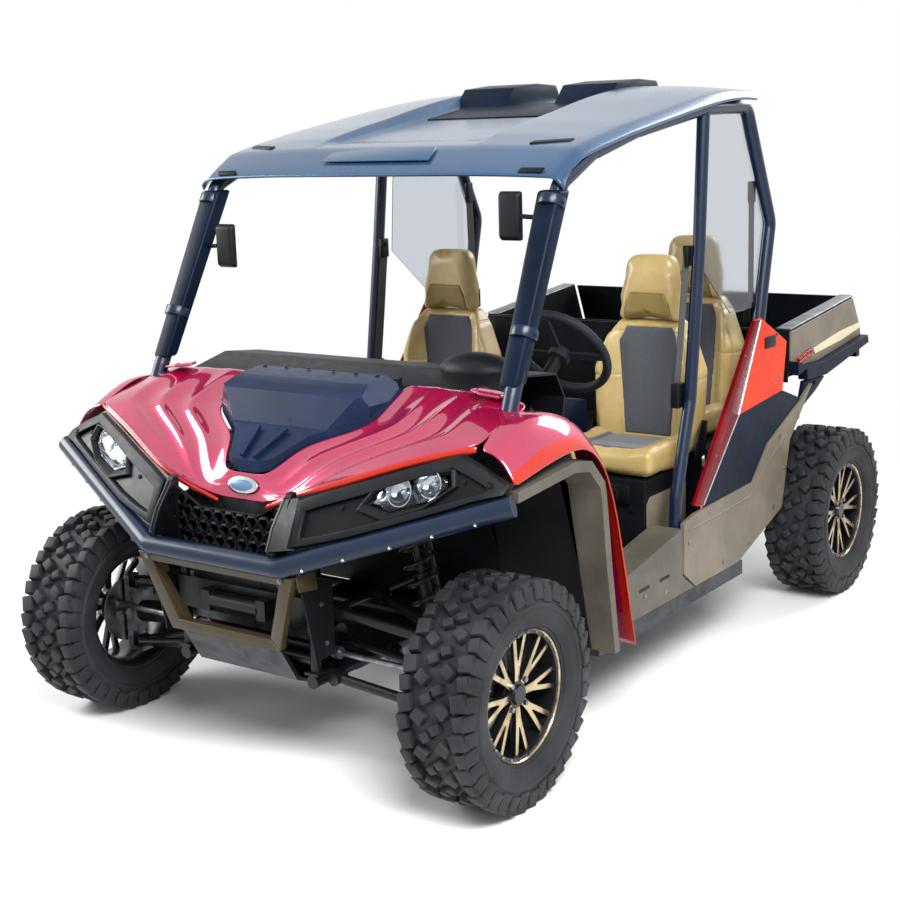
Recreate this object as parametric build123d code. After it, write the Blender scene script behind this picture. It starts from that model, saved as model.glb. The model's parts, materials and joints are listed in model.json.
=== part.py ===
from build123d import *
import math
import os

# Side by side utility vehicle: tubular cage, bucket seats in two rows, tilting cargo bed, independent
# suspension.
#
# Frame: +Z up, front towards -Y, the vehicle's left towards +X, origin on the ground under the middle of its
# box. Places along the vehicle are stations, distances behind the front axle, and aft() turns them into Y.
# Points are (x, station, z), side outlines are (station, z) and front outlines are (x, z).

os.makedirs("parts", exist_ok=True)

# ---- driving dimensions, in millimetres ---------------------------------------------------------
tyre_radius = 330.0          # to the lugs' tips
tyre_width = 234.0
lug_height = 14.0
lug_count = 18               # on each shoulder
rim_radius = 189.0           # over the rim's flanges
rim_width = 180.0
spoke_count = 7
wheelbase = 2340.0
half_track = 765.0           # wheel centre plane from the middle
front_overhang = 345.0       # front axle to the bumper's foremost face
rear_overhang = 550.0        # rear axle to the hitch receiver's mouth

skin = 5.0                   # moulded plastic panels
plate = 4.0                  # folded steel
clearance = 6.0              # between a moving piece and its neighbours
seat_gap = 0.3               # between pieces that rest on each other but are not joined
cage_radius = 25.0
rail_radius = 20.0           # chassis tubes

belly = 292.0                # underside of the skid plate
rail_height = 318.0          # chassis rails' centre line
floor_height = rail_height + rail_radius + plate + seat_gap   # cab floor's upper face
bed_rail_height = 815.0      # rear frame rails' centre line
body_half = 742.0            # widest of the cab's panels
hub_height = tyre_radius
kingpin = 680.0              # steering axis from the middle
rear_axle = wheelbase

length = front_overhang + wheelbase + rear_overhang
front_axle_y = -length / 2 + front_overhang


def aft(distance):
    """Y of a station that lies this far behind the front axle."""
    return front_axle_y + distance


class Axle:
    """Places that one axle's suspension shares, at the left; pivots and studs are (x, z)."""

    def __init__(self, station, rail, frame_x, high, stud_x, damper, damper_top):
        reach = bush_radius + seat_gap
        self.station, self.rail = station, rail
        self.low_pivot = (frame_x + rail_radius + reach, rail)
        self.high_pivot = (frame_x + cross_radius + reach, high)
        self.stud = stud_place(self.low_pivot, stud_x)
        self.damper, self.damper_top = station + damper, damper_top


# ---- shape helpers ------------------------------------------------------------------------------
def at(point):
    return Vector(point[0], aft(point[1]), point[2])


def block(x, s, z):
    """Box from its spans across, along and up, each (low, high)."""
    centre = at(((x[0] + x[1]) / 2, (s[0] + s[1]) / 2, (z[0] + z[1]) / 2))
    return Pos(centre) * Box(x[1] - x[0], s[1] - s[0], z[1] - z[0])


def side_prism(outline, x0, x1):
    """Side outline carried across from x0 to x1."""
    face = make_face(Polyline(*[at((x0, s, z)) for s, z in outline], close=True))
    return extrude(face, amount=x1 - x0, dir=(1, 0, 0))


def front_prism(outline, s0, s1):
    """Front outline carried along from station s0 to s1."""
    face = make_face(Polyline(*[at((x, s0, z)) for x, z in outline], close=True))
    return extrude(face, amount=s1 - s0, dir=(0, 1, 0))


def plan_prism(outline, z0, z1):
    """Plan outline of (x, station) points carried up from z0 to z1."""
    face = make_face(Polyline(*[at((x, s, z0)) for x, s in outline], close=True))
    return extrude(face, amount=z1 - z0, dir=(0, 0, 1))


def flipped(shape):
    return mirror(shape, about=Plane.YZ)


def pair(shape):
    """The piece and its mirror image on the other side, as separate solids."""
    return [*shape.solids(), *flipped(shape).solids()]


def rod(a, b, radius):
    """Round bar between two points."""
    start, end = at(a), at(b)
    return extrude(Plane(origin=start, z_dir=end - start) * Circle(radius), amount=(end - start).length)


def bent_tube(points, radius, bends):
    """Round tube along points, with one bend radius or a list of them."""
    path = FilletPolyline(*[at(p) for p in points], radius=bends)
    return sweep(Plane(origin=path @ 0, z_dir=path % 0) * Circle(radius), path=path)


def fused(shapes):
    first, *others = shapes
    return first.fuse(*others) if others else first


def loft_along(sections):
    """Ruled loft through closed (x, z) outlines, each at its own station."""
    wires = [Wire.make_polygon([at((x, s, z)) for x, z in outline], close=True) for s, outline in sections]
    return Solid.make_loft(wires, True)


def loft_across(sections):
    """Ruled loft through closed (station, z) outlines, each at its own x."""
    wires = [Wire.make_polygon([at((x, s, z)) for s, z in outline], close=True) for x, outline in sections]
    return Solid.make_loft(wires, True)


def domed(half, edge):
    """Closed outline from a half profile that runs from the middle outwards, with a flat edge below."""
    left = [(-x, z) for x, z in reversed(half) if x > 0]
    return left + half + [(half[-1][0], edge), (-half[-1][0], edge)]


def draped_shell(stations, thickness, edge):
    """Moulded cover, open below: stations holds (station, half profile) rows from front to rear."""
    solid = loft_along([(s, domed(half, edge)) for s, half in stations])
    hollow = []
    for number, (s, half) in enumerate(stations):
        reach = {0: -1.0, len(stations) - 1: 1.0}.get(number, 0.0)
        inner = [(x, z - thickness) for x,
                 z in half[:-1]] + [(half[-1][0] - thickness, half[-1][1] - thickness)]
        hollow.append((s + reach, domed(inner, edge - 10)))
    return solid - loft_along(hollow)


def at_hub(shape, x, station):
    return Pos(at((x, station, hub_height))) * shape


# ---- wheels -------------------------------------------------------------------------------------
bead_seat = rim_radius - 11
spindle_radius = 27.0
flange = 8.0


def tyre():
    """Mud tyre about the X axis: turned carcass with staggered lugs wrapping over both shoulders."""
    half, tread = tyre_width / 2, tyre_radius - lug_height
    bead = rim_width / 2 - flange - seat_gap
    side = [
        (bead, bead_seat + seat_gap), (bead, rim_radius + 2), (half * 0.93, rim_radius + 12),
            (half * 0.97, tread * 0.80),
        (half * 0.86, tread * 0.94), (half * 0.55, tread),
    ]
    profile = side + [(-x, r) for x, r in reversed(side)]
    carcass = revolve(make_face(Polyline(*profile, close=True)), Axis.X)
    reach, root = tyre_radius, tread - 12
    shoulder = [
        (half * 0.10, root), (half * 0.10, reach), (half * 0.60, reach - 2), (half * 0.92, reach - 20),
        (half, tread * 0.84), (half * 0.90, tread * 0.80),
    ]
    lug_width = 0.50 * 2 * math.pi * tyre_radius / lug_count
    lug_face = make_face(Polyline(*[(x, r, -lug_width / 2) for x, r in shoulder], close=True))
    lug = extrude(lug_face, amount=lug_width, dir=(0, 0, 1))
    turn = 360 / lug_count
    outer = [Rot(turn * n, 0, 0) * lug for n in range(lug_count)]
    inner = [Rot(turn * (n + 0.5), 0, 0) * flipped(lug) for n in range(lug_count)]
    return carcass.fuse(*outer, *inner)


def rim():
    """Alloy rim about the X axis, its face towards +X: barrel, dished hub and forked spokes."""
    half, well = rim_width / 2, bead_seat - 26
    wall = 6.0
    profile = [
        (-half, rim_radius), (-half + flange, rim_radius), (-half + flange, bead_seat),
               (-half + 34, bead_seat),
        (-half + 52, well), (half - 52, well), (half - 34, bead_seat), (half - flange, bead_seat),
        (half - flange, rim_radius), (half, rim_radius), (half, bead_seat - wall),
               (half - 34, bead_seat - wall),
        (half - 52, well - wall), (-half + 52, well - wall), (-half + 34, bead_seat - wall),
               (-half, bead_seat - wall),
    ]
    barrel = revolve(make_face(Polyline(*profile, close=True)), Axis.X)
    face, depth = half - 20, 20.0
    hub = Pos(face - 34, 0, 0) * extrude(Plane.YZ * Circle(56), amount=30)
    bore = Pos(face - 40, 0, 0) * extrude(Plane.YZ * Circle(spindle_radius + seat_gap), amount=80)
    reach = bead_seat - 2
    fork = Polyline(
        (9, 44), (12, 92), (42, reach - 6), (26, reach), (0, 114), (-26, reach), (-42, reach - 6),
                    (-12, 92), (-9, 44),
        close=True,
    )
    spoke = Pos(face - depth, 0, 0) * extrude(Plane.YZ * make_face(fork), amount=depth)
    turn = 360 / spoke_count
    spokes = [Rot(turn * n, 0, 0) * spoke for n in range(spoke_count)]
    return barrel.fuse(hub, *spokes) - bore


tyre_shape = tyre()
rim_shape = rim()
wheel_places = [
    # name, x, station
    ("front_left", half_track, 0.0),
    ("front_right", -half_track, 0.0),
    ("rear_left", half_track, rear_axle),
    ("rear_right", -half_track, rear_axle),
]
nodes = {}
for name, x, station in wheel_places:
    nodes["tyre_" + name] = [at_hub(tyre_shape if x > 0 else flipped(tyre_shape), x, station)]
    nodes["rim_" + name] = [at_hub(rim_shape if x > 0 else flipped(rim_shape), x, station)]

# ---- chassis ------------------------------------------------------------------------------------
rail_x = 255.0
rear_rail_x = 330.0
rear_rail_height = 370.0
frame_front = -200.0
cross_radius = 14.0
bush_radius = 19.0
front_arm_rail = 505.0       # heights of the frame tubes that carry the upper arms
rear_arm_rail = 545.0
front_hoop = frame_front + 20
leg_foot = 440.0             # station of the front hoops' rear legs
hoop_front = 2120.0
hoop_rear = 2660.0
bed_pivot = (2702.0, bed_rail_height)  # station and height of the tipping axis
rocker_top = 288.0
outrigger_height = rocker_top + rail_radius - 4 + seat_gap
outriggers = (640.0, 1480.0)
tub_bar = (100.0, 833.0)     # crossbar under the storage tub
fender_stay = 790.0          # height of the stays between the cowl posts and the arch liners
deck_height = 700.0          # rear seat's platform
cage_foot = 1066.0           # height of the bolted flanges at the windscreen posts


arch_outer = [(560, 288), (490, 580), (432, 850), (360, 925), (270, 940), (-28, 915)]
arch_inner = [(-30, 885), (268, 908), (345, 895), (404, 835), (461, 565), (530, 286)]


def liner_back(height):
    """Station of the arch liner's rear face at a height on its straight rear run."""
    (s0, z0), (s1, z1) = arch_inner[3], arch_inner[4]
    return s0 + (s1 - s0) * (z0 - height) / (z0 - z1)


def foot_plate(x, station, tube_top, half=24.0):
    """Bolted plate that seats a leg on the tube below it."""
    foot = tube_top + seat_gap
    return block((x - half, x + half), (station - half, station + half), (foot, foot + 8))


def crossbars(rows):
    """Cross tubes from rows of station, half width and height."""
    return [rod((-x, station, z), (x, station, z), cross_radius) for station, x, z in rows]


def ladder_frame():
    """Both main rails with their cross tubes and the outriggers under the sills."""
    low, thin = rail_height, rail_radius - 4
    tubes = crossbars([
        (rack_station, rail_x, low), (-drive_depth + 14, rail_x, low), (drive_depth - 14, rail_x, low),
        (leg_foot, rail_x, low + 2), (1150, rail_x, low), (1640, rail_x, low), (1900, rail_x, low),
        (rear_axle - 110, rear_rail_x, rear_rail_height), (rear_axle + 110, rear_rail_x, rear_rail_height),
        (hoop_rear + 30, rear_rail_x, rear_rail_height),
    ])
    for side in (-1, 1):
        x, rear = side * rail_x, side * rear_rail_x
        tubes.append(bent_tube([(x, frame_front, low), (x, 2060, low), (rear, 2200, rear_rail_height),
                                (rear, hoop_rear + 60, rear_rail_height)], rail_radius, 60))
        tubes.append(rod((side * 640, 1900, low), (x, 1900, low), thin - 1))
        for station in outriggers:
            tubes.append(rod((side * (rail_x + 4), station, outrigger_height),
                             (side * 712, station, outrigger_height), thin))
    return fused(tubes)


def front_frame():
    """Front hoops bolted on the main rails: arm rails, damper stubs and the bar under the storage tub."""
    thin, foot = rail_radius - 4, rail_height + rail_radius
    tubes = crossbars([(front_hoop, rail_x, rail_height + 60), (front_hoop, rail_x, 640),
                       (tub_bar[0], rail_x, tub_bar[1])])
    for side in (-1, 1):
        x = side * rail_x
        tubes.append(bent_tube([(x, front_hoop, foot + 4), (x, front_hoop, 800), (x, 330, 860),
                                (x, leg_foot - 5, foot + 5)],
                               thin, 50))
        tubes.append(foot_plate(x, front_hoop, foot))
        tubes.append(foot_plate(x, leg_foot - 5, foot))
        tubes.append(rod((x, front_hoop, front_arm_rail), (x, leg_foot - 30, front_arm_rail), cross_radius))
        tubes.append(rod((x, front.damper, damper_beam), (side * 375, front.damper, damper_beam), 12))
    return fused(tubes)


def rear_frame():
    """Rear hoops bolted on the rear rails: arm rails, bed rails and the ears of the bed's pivot."""
    thin, foot = rail_radius - 4, rear_rail_height + rail_radius
    leg = 2230.0
    tubes = crossbars([(hoop_rear - 60, rear_rail_x, bed_rail_height), (2166, rear_rail_x, 640)])
    s, z = bed_pivot
    for side in (-1, 1):
        rear = side * rear_rail_x
        tubes.append(bent_tube([(rear, leg, foot + 5), (rear, hoop_front, bed_rail_height),
                                (rear, hoop_rear, bed_rail_height), (rear, hoop_rear, foot + 4)], thin, 50))
        tubes.append(foot_plate(rear, leg, foot))
        tubes.append(foot_plate(rear, hoop_rear, foot))
        tubes.append(rod((rear, 2180, rear_arm_rail), (rear, hoop_rear, rear_arm_rail), cross_radius))
        for inner in (296, 346):
            tubes.append(side_prism([(hoop_rear - 4, z - 15), (hoop_rear - 4, z + 14), (s, z + 14),
                                     (s + 13, z), (s, z - 14)],
                                    *sorted((side * inner, side * (inner + 8)))))
        tubes.append(rod((side * 292, s, z), (side * 358, s, z), 10))
    return fused(tubes)


def cowl_post():
    """Side post from the front outrigger to the flange under the windscreen post, at the left."""
    thin, foot = rail_radius - 4, outrigger_height + rail_radius - 4
    parts = [bent_tube([(672, outriggers[0], foot + 5), (664, 560, 560), (690, 480, 830),
                        (702, 200, cage_foot - 18)], thin, 80)]
    parts.append(foot_plate(672, outriggers[0], foot, 20.0))
    parts.append(rod((687, 492, fender_stay), (690, liner_back(fender_stay) + skin - 2, fender_stay), 10))
    parts.append(rod((702, 186, cage_foot - 8), (702, 186, cage_foot), 38))
    return fused(parts)


def radiator():
    """Radiator leaning on the front cross tube, behind the grille."""
    face = front_hoop + cross_radius + seat_gap
    return block((-232, 232), (face, face + 40), (430, 840))


def winch():
    """Winch on its plate across the front hoops."""
    face = front_hoop - (rail_radius - 4) - seat_gap
    plate_face = face - 6
    return fused([block((-262, 262), (plate_face, face), (472, 568)),
                  rod((-95, plate_face - 22, 520), (95, plate_face - 22, 520), 26),
                  block((-128, -92), (plate_face - 44, plate_face + 1), (490, 552)),
                  block((92, 128), (plate_face - 44, plate_face + 1), (490, 552))])


def hitch_receiver():
    mouth, wall, bore = rear_axle + rear_overhang, 6.35, 50.8
    outer, top = bore + 2 * wall, rear_rail_height - cross_radius - seat_gap
    tube = block((-outer / 2, outer / 2), (hoop_rear - 30, mouth), (top - outer - 10, top - 10))
    hole = block((-bore / 2, bore / 2), (hoop_rear + 10, mouth + 1),
                 (top - outer - 10 + wall, top - 10 - wall))
    hanger = block((-120, 120), (hoop_rear + 10, hoop_rear + 50), (top - 16, top))
    pin = Pos(at((0, mouth - 70, top - 10 - outer / 2))) * Rot(0, 90, 0) * Cylinder(8, 120)
    return tube.fuse(hanger) - hole - pin


def skid_plate():
    """Full belly plate with a turned-up nose."""
    half, nose = rail_x, -258.0
    low, top = belly, rail_height - rail_radius - seat_gap
    outline = [(nose, 416), (nose + 62, low + 20), (nose + 110, low), (40, low), (40, top),
               (nose + 116, top),
               (nose + 74, low + 30), (nose + 14, 418)]
    return side_prism(outline, -half + 60, half - 60).fuse(
        side_prism([(0, low), (2040, low), (2040, top), (0, top)], -half, half))


def engine_block():
    """Engine and transmission behind and under the seats, as one plain mass."""
    return block((-210, 210), (1580, 2055), (rail_height + cross_radius + seat_gap, deck_height - 10))


# ---- suspension and steering --------------------------------------------------------------------
lower_ball = (kingpin - 8, 225.0)
upper_ball = (kingpin - 14, 430.0)
arm_radius = 15.0
coil_radius = 45.0
coil_wire = 6.0


def a_arm(station, pivot, ball, spread):
    """Two round legs from pivot bushes on the frame to one ball joint housing. pivot and ball are (x, z)."""
    end = (ball[0] - 12, station, ball[1])
    parts = [Pos(at(end)) * Cylinder(20, 34)]
    for way in (-1, 1):
        s = station + way * spread
        parts.append(rod((pivot[0], s, pivot[1]), (end[0] - 4, station + way * 8, end[2]), arm_radius))
        parts.append(rod((pivot[0], s - 24, pivot[1]), (pivot[0], s + 24, pivot[1]), bush_radius))
    return parts


def arm_set(axle):
    """Lower arm with its damper stud and upper arm of one corner, at the left."""
    low = a_arm(axle.station, axle.low_pivot, lower_ball, low_spread)
    x, z = axle.stud
    way = 1 if axle.damper > axle.station else -1
    low.append(rod((x, axle.station + way * 60, z), (x, axle.damper + way * 24, z), 12))
    high = a_arm(axle.station, axle.high_pivot, upper_ball, 95)
    return [fused(low), fused(high)]


def stud_place(pivot, x):
    """Place on the lower arm's leg where the damper's stud crosses, as (x, z)."""
    share = (x - pivot[0]) / (lower_ball[0] - 16 - pivot[0])
    return (x, pivot[1] + (lower_ball[1] - pivot[1]) * share)


def damper(axle):
    """Damper with eyes and spring perches, and its coil spring, at the left."""
    s, eye = axle.damper, 17.0
    low = (axle.stud[0], s, axle.stud[1] + 12 + eye + seat_gap)
    top = (axle.damper_top[0], s, axle.damper_top[1])
    a, b = at(low), at(top)
    axis = (b - a).normalized()

    def along(start, end, radius):
        plane = Plane(origin=a + axis * start, z_dir=axis)
        return extrude(plane * Circle(radius), amount=end - start)

    total = (b - a).length
    first, last = 52.0, total - 78.0
    perch, lift = coil_radius + 8, coil_wire + seat_gap
    body = fused([
        along(0, total * 0.55, 26), along(total * 0.5, total, 11),
                  along(first - lift - 6, first - lift, perch),
        along(last + lift, last + lift + 8, perch),
                  rod((low[0], s - 18, low[2]), (low[0], s + 18, low[2]), eye),
        rod((top[0], s - 18, top[2]), (top[0], s + 18, top[2]), eye),
    ])
    run = last - first
    coil = Plane(origin=a + axis * first, z_dir=axis) * Helix(pitch=run / 7, height=run, radius=coil_radius)
    ring = Plane(origin=coil @ 0, z_dir=coil % 0) * RegularPolygon(coil_wire, 6)
    return body, sweep(ring, path=coil, is_frenet=True)


def final_drive(axle, half_width, depth):
    """Differential housing on its crossbars, with both half shafts and their boots as far as the hubs."""
    bottom = axle.rail + cross_radius + seat_gap
    z, station = bottom + 75, axle.station
    parts = [block((-half_width, half_width), (station - depth, station + depth), (bottom, bottom + 150))]
    for side in (-1, 1):
        inner, outer = (side * half_width, station, z), (side * (kingpin - 32), station, hub_height)
        parts.append(rod(inner, outer, 13))
        for start, end, radius in [(0.0, 0.2, 38), (0.84, 1.0, 36)]:
            ends = [tuple(p + (q - p) * share for p, q in zip(inner, outer)) for share in (start, end)]
            parts.append(rod(*ends, radius))
    return fused(parts)


low_spread = 130.0
drive_depth = 80.0
rack_station = -118.0
damper_beam = 834.0          # height of the stubs that carry the front dampers
front = Axle(0.0, rail_height, rail_x, front_arm_rail, 470.0, 147.0, (345.0, damper_beam - 29.3))
rear = Axle(rear_axle, rear_rail_height, rear_rail_x, rear_arm_rail, 510.0, 147.0,
            (rear_rail_x, bed_rail_height - 33.3))


def upright():
    """Hub carrier about the axle's middle at the left: tall web, spindle, brake disc and steering arm."""
    web = block((kingpin + 8, kingpin + 30), (-24, 24), (lower_ball[1] - 20, upper_ball[1] + 20))
    reach = 17 + seat_gap
    ears = [block((kingpin - 34, kingpin + 30), (-24, 24), heights)
            for heights in ((ball[1] - reach - 14, ball[1] - reach) for ball in (lower_ball, upper_ball))]
    spindle = rod((kingpin + 20, 0, hub_height), (half_track + 62, 0, hub_height), spindle_radius)
    disc = rod((kingpin + 38, 0, hub_height), (kingpin + 43, 0, hub_height), 110)
    return fused([web, *ears, spindle, disc])


arm_eye = (kingpin - 30, rack_station, 356.0)
rack_height = arm_eye[2] + 34


def knuckle():
    eye = arm_eye
    arm = plan_prism([(kingpin + 9, -20), (kingpin + 29, -20), (eye[0] + 14, eye[1] - 14),
                      (eye[0] - 14, eye[1] - 14),
                      (eye[0] - 14, eye[1] + 14)], eye[2] - 8, eye[2] + 8)
    return upright().fuse(arm)


def steering_rack():
    """Rack housing across the frame, on two feet on the crossbar."""
    s, z = rack_station, rack_height
    foot = rail_height + cross_radius + seat_gap
    feet = [block((x - 20, x + 20), (s - 12, s + 12), (foot, z)) for x in (-140, 140)]
    return rod((-205, s, z), (205, s, z), 25).fuse(*feet) - rod((-206, s, z), (206, s, z), 12 + seat_gap)


def tie_rods():
    """Sliding rack bar with a tie rod at each end, open at the knuckles' eyes."""
    s, z = rack_station, rack_height
    parts = [rod((-290, s, z), (290, s, z), 12)]
    for side in (-1, 1):
        end = (side * (arm_eye[0] - 4), s, z)
        parts.append(rod((side * 275, s, z), (side * 300, s, z), 18))
        parts.append(rod((side * 280, s, z), end, 9))
        parts.append(rod((end[0], s - 12, z), (end[0], s + 12, z), 14))
    return fused(parts)


wheel_centre = (400.0, 960.0, 1128.0)
column_rise = 35.0           # degrees of the steering axis above level


def along_column(distance):
    """Point on the steering axis this far above (or below) the steering wheel's middle."""
    rise = math.radians(column_rise)
    return (wheel_centre[0], wheel_centre[1] + distance * math.cos(rise),
            wheel_centre[2] + distance * math.sin(rise))


def steering_wheel():
    origin, top = at(wheel_centre), at(along_column(10))
    plane = Plane(origin=origin, x_dir=(1, 0, 0), z_dir=top - origin)
    rim_ring = plane * Torus(165, 15)
    hub = plane * Pos(0, 0, -22) * Cylinder(38, 36)
    spokes = [plane * Rot(0, 0, angle) * Pos(85, 0, -12) * Box(150, 26, 10) for angle in (0, 180, 270)]
    return fused([rim_ring, hub, *spokes])


def steering_column():
    bracket = block((360, 440), (575, 592), (850, 892.0))
    return rod(along_column(-40.3), along_column(-470), 22).fuse(bracket)


nodes["chassis_frame"] = [ladder_frame()]
nodes["front_frame"] = [front_frame(), *pair(cowl_post())]
nodes["rear_frame"] = [rear_frame()]
nodes["radiator"] = [radiator()]
nodes["winch"] = [winch()]
nodes["hitch_receiver"] = [hitch_receiver()]
nodes["skid_plate"] = [skid_plate()]
nodes["engine_block"] = [engine_block()]
nodes["control_arms"] = [solid for axle in (front, rear) for arm in arm_set(axle) for solid in pair(arm)]
nodes["dampers"] = [solid for axle in (front, rear) for solid in pair(damper(axle)[0])]
nodes["springs"] = [solid for axle in (front, rear) for solid in pair(damper(axle)[1])]
nodes["final_drives"] = [final_drive(front, 80, drive_depth), final_drive(rear, 120, 130)]
nodes["knuckle_left"] = [knuckle()]
nodes["knuckle_right"] = [flipped(knuckle())]
nodes["rear_knuckles"] = pair(Pos(0, wheelbase, 0) * upright())
nodes["steering_rack"] = [steering_rack()]
nodes["tie_rods"] = [tie_rods()]
nodes["steering_wheel"] = [steering_wheel()]
nodes["steering_column"] = [steering_column()]

# ---- roll cage and roof -------------------------------------------------------------------------
rail_line = 680.0            # roof rails from the middle
rocker_inner = 668.0
windscreen_post = [(702, 184, cage_foot + 13), (700, 204, 1124), (684, 505, 1702), (rail_line, 690, 1782)]


def roll_cage():
    side = windscreen_post + [(rail_line, 960, 1841), (rail_line, 1440, 1906), (662, 1806, 1908),
                              (662, 2020, 1486), (662, 1932, 1131), (645, 1900, 350)]
    centre_post = [(rail_line, 1437, 1900), (690, 1385, 1433), (694, 1312, 930), (698, 1200, 610),
                   (698, 1180, rocker_top + 6)]
    tubes = []
    for way in (-1, 1):
        tubes.append(bent_tube([(way * x, s, z) for x, s, z in side], cage_radius,
                               [60, 60, 70, 70, 70, 70, 70, 60]))
        tubes.append(bent_tube([(way * x, s, z) for x, s, z in centre_post], cage_radius - 3, 60))
        tubes.append(rod((way * 702, 186, cage_foot + seat_gap), (way * 702, 186, cage_foot + 10), 38))
        tubes.append(block(sorted((way * 672, way * 736)), (1150, 1210),
                           (rocker_top + seat_gap, rocker_top + 8)))
    for station, z in ((820, 1807), (1470, 1904), (1770, 1906)):
        tubes.append(rod((-rail_line + 8, station, z), (rail_line - 8, station, z), cage_radius - 5))
    return fused(tubes)


def pillar_cover():
    """Moulded box section around the windscreen post, at the left."""
    low = [(628, 190), (722, 190), (722, 246), (628, 246)]
    high = [(606, 452), (712, 452), (712, 522), (606, 522)]
    shell = Solid.make_loft([Wire.make_polygon([at((x, s, z)) for x, s in outline], close=True)
                             for outline, z in ((low, 1150), (high, 1684))], True)
    return shell - bent_tube(windscreen_post, cage_radius + seat_gap, 60)


roof_half = 715.0
roof_rows = [
    # station, z in the middle, z at the side, lower edge, recess depth, height of the pods beside it
    (461, 1730, 1722, 1708, 0, 0),
    (584, 1812, 1802, 1768, 0, 0),
    (760, 1850, 1842, 1806, 0, 0),
    (880, 1872, 1862, 1826, 12, 4),
    (1042, 1898, 1889, 1853, 20, 10),
    (1200, 1921, 1913, 1877, 20, 24),
    (1440, 1957, 1950, 1914, 20, 26),
    (1640, 1974, 1968, 1932, 20, 22),
    (1790, 1970, 1962, 1926, 10, 8),
]


def roof_panel():
    outer, inner = [], []
    for number, (s, middle, side, edge, recess, pod) in enumerate(roof_rows):
        half = [(0, middle - recess), (300, middle - recess), (330, middle + pod),
                (540, side + 6 + 0.7 * pod),
                (roof_half - 22, side), (roof_half, side - 24)]
        outer.append((s, domed(half, min(edge, side - 30))))
        shrunk = [(x, z - skin) for x, z in half[:-1]] + [(roof_half - skin, side - 24 - skin)]
        reach = 1.0 if number == len(roof_rows) - 1 else 0.0
        inner.append((s + reach, domed(shrunk, min(edge, side - 30) - 12)))
    inner[0] = (461 + skin, inner[0][1])
    pads = [block((way * 676 - 12, way * 676 + 12), (s - 14, s + 14), (low, high)) for way in (-1, 1)
            for s, low, high in ((960, 1870, 1880), (1430, 1932.5, 1948), (1740, 1933.5, 1961))]
    return (loft_along(outer) - loft_along(inner)).fuse(*pads)


# ---- front body ---------------------------------------------------------------------------------
hood_x = (0, 120, 262, 380, 520, 650, 750)
hood_rows = [
    # station, then z at each of hood_x, and the depth of the flutes between them
    (-216, (700, 720, 890, 905, 915, 925, 930), 0),
    (-178, (814, 826, 900, 924, 940, 955, 955), 4),
    (-150, (925, 925, 915, 936, 960, 975, 970), 7),
    (-40, (975, 982, 985, 1003, 1022, 1033, 1024), 13),
    (90, (1030, 1036, 1046, 1060, 1080, 1088, 1066), 15),
    (240, (1078, 1088, 1126, 1126, 1122, 1118, 1094), 5),
]


def fluted(heights, depth):
    """Half profile over the ridges at hood_x with a valley between each two of the outer ones."""
    profile = []
    for n, (x, z) in enumerate(zip(hood_x, heights)):
        profile.append((x, z))
        if 1 < n < len(hood_x) - 2:
            profile.append(((x + hood_x[n + 1]) / 2, (z + heights[n + 1]) / 2 - depth))
    return profile


hood_plan = [(0, -172), (117, -178), (262, -214), (700, -46), (741.6, -30), (741.6, 238), (0, 238)]
lid_plan = [(84, -148), (150, -40), (300, 60), (300, 238)]


def mirrored_plan(half):
    return half + [(-x, s) for x, s in reversed(half) if x > 0]


def grown(half, margin):
    """Half plan outline moved outwards and forwards by a margin."""
    return [(x + margin, s - margin) for x, s in half[:-1]] + [(half[-1][0] + margin, half[-1][1] + 40)]


def hood():
    rows = [(s, fluted(heights, depth)) for s, heights, depth in hood_rows]
    cover = draped_shell(rows, skin, 640)
    cover = cover & plan_prism(mirrored_plan(hood_plan), 600, 1300)
    posts = [rod((way * 702, 182, 1050), (way * 700, 210, 1150), cage_radius + 10) for way in (-1, 1)]
    return (cover - plan_prism(mirrored_plan(grown(lid_plan, clearance)), 900, 1300)).cut(*posts)


lid_hinge = (250.0, 1127.0)


def lid_shape(wall):
    """Low wedge nose with a chamfered box behind it, drawn in by the wall."""
    back = 236 - wall
    drop = 2 * wall
    foot = [(back, 1092 - drop), (60, 1022 - drop)]
    nose_side = [(-42, 960 - drop), (-148 + wall, 904 - drop), (-148 + wall, 938 - wall),
                 (-26, 1008 - wall), (70, 1045 - wall),
                 (back, 1112 - wall), *foot]
    nose_plan = mirrored_plan([(36 - wall, -148 + wall), (84 - wall, -132 + wall), (146 - wall, -34),
                               (292 - wall, 62),
                               (292 - wall, back)])
    box_side = [(-26 + wall, 972 - drop), (46 + wall, 1108 - wall), (110, 1140 - wall), (206, 1152 - wall),
                (back, 1128 - wall), *foot]
    box_front = mirrored_plan([(292 - wall, 930 - drop), (292 - wall, 1084), (250 - wall, 1156 - wall)])
    box_plan = mirrored_plan([(142 - wall, -30 + wall), (292 - wall, 68), (292 - wall, back)])
    nose = side_prism(nose_side, -300, 300) & plan_prism(nose_plan, 880, 1200)
    box = side_prism(box_side, -300, 300) & front_prism(box_front, -60,
                                                        260) & plan_prism(box_plan, 880, 1200)
    return nose.fuse(box)


def hood_lid():
    pins = [rod((way * 196, *lid_hinge), (way * 262, *lid_hinge), 5) for way in (-1, 1)]
    ears = [block(sorted((way * 196, way * 236)), (230, 254), (1115, 1131)) for way in (-1, 1)]
    return (lid_shape(0) - lid_shape(skin)).fuse(*ears, *pins)


fender_inner = body_half
fender_rows = [
    # x, then the outline from the front top round to the bottom
    (fender_inner, [(-28, 1018), (157, 1098), (330, 1068), (430, 1000), (505, 860), (560, 640), (612, 400),
                    (640, 290)]),
    (800, [(-30, 1006), (157, 1086), (330, 1058), (428, 990), (503, 855), (558, 640), (610, 400),
           (638, 290)]),
    (846, [(-34, 960), (152, 1010), (320, 1012), (416, 955), (494, 842), (550, 640), (602, 400),
           (630, 290)]),
    (862, [(-34, 930), (150, 962), (305, 978), (398, 940), (482, 830), (540, 630), (594, 400), (622, 290)]),
]


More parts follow.
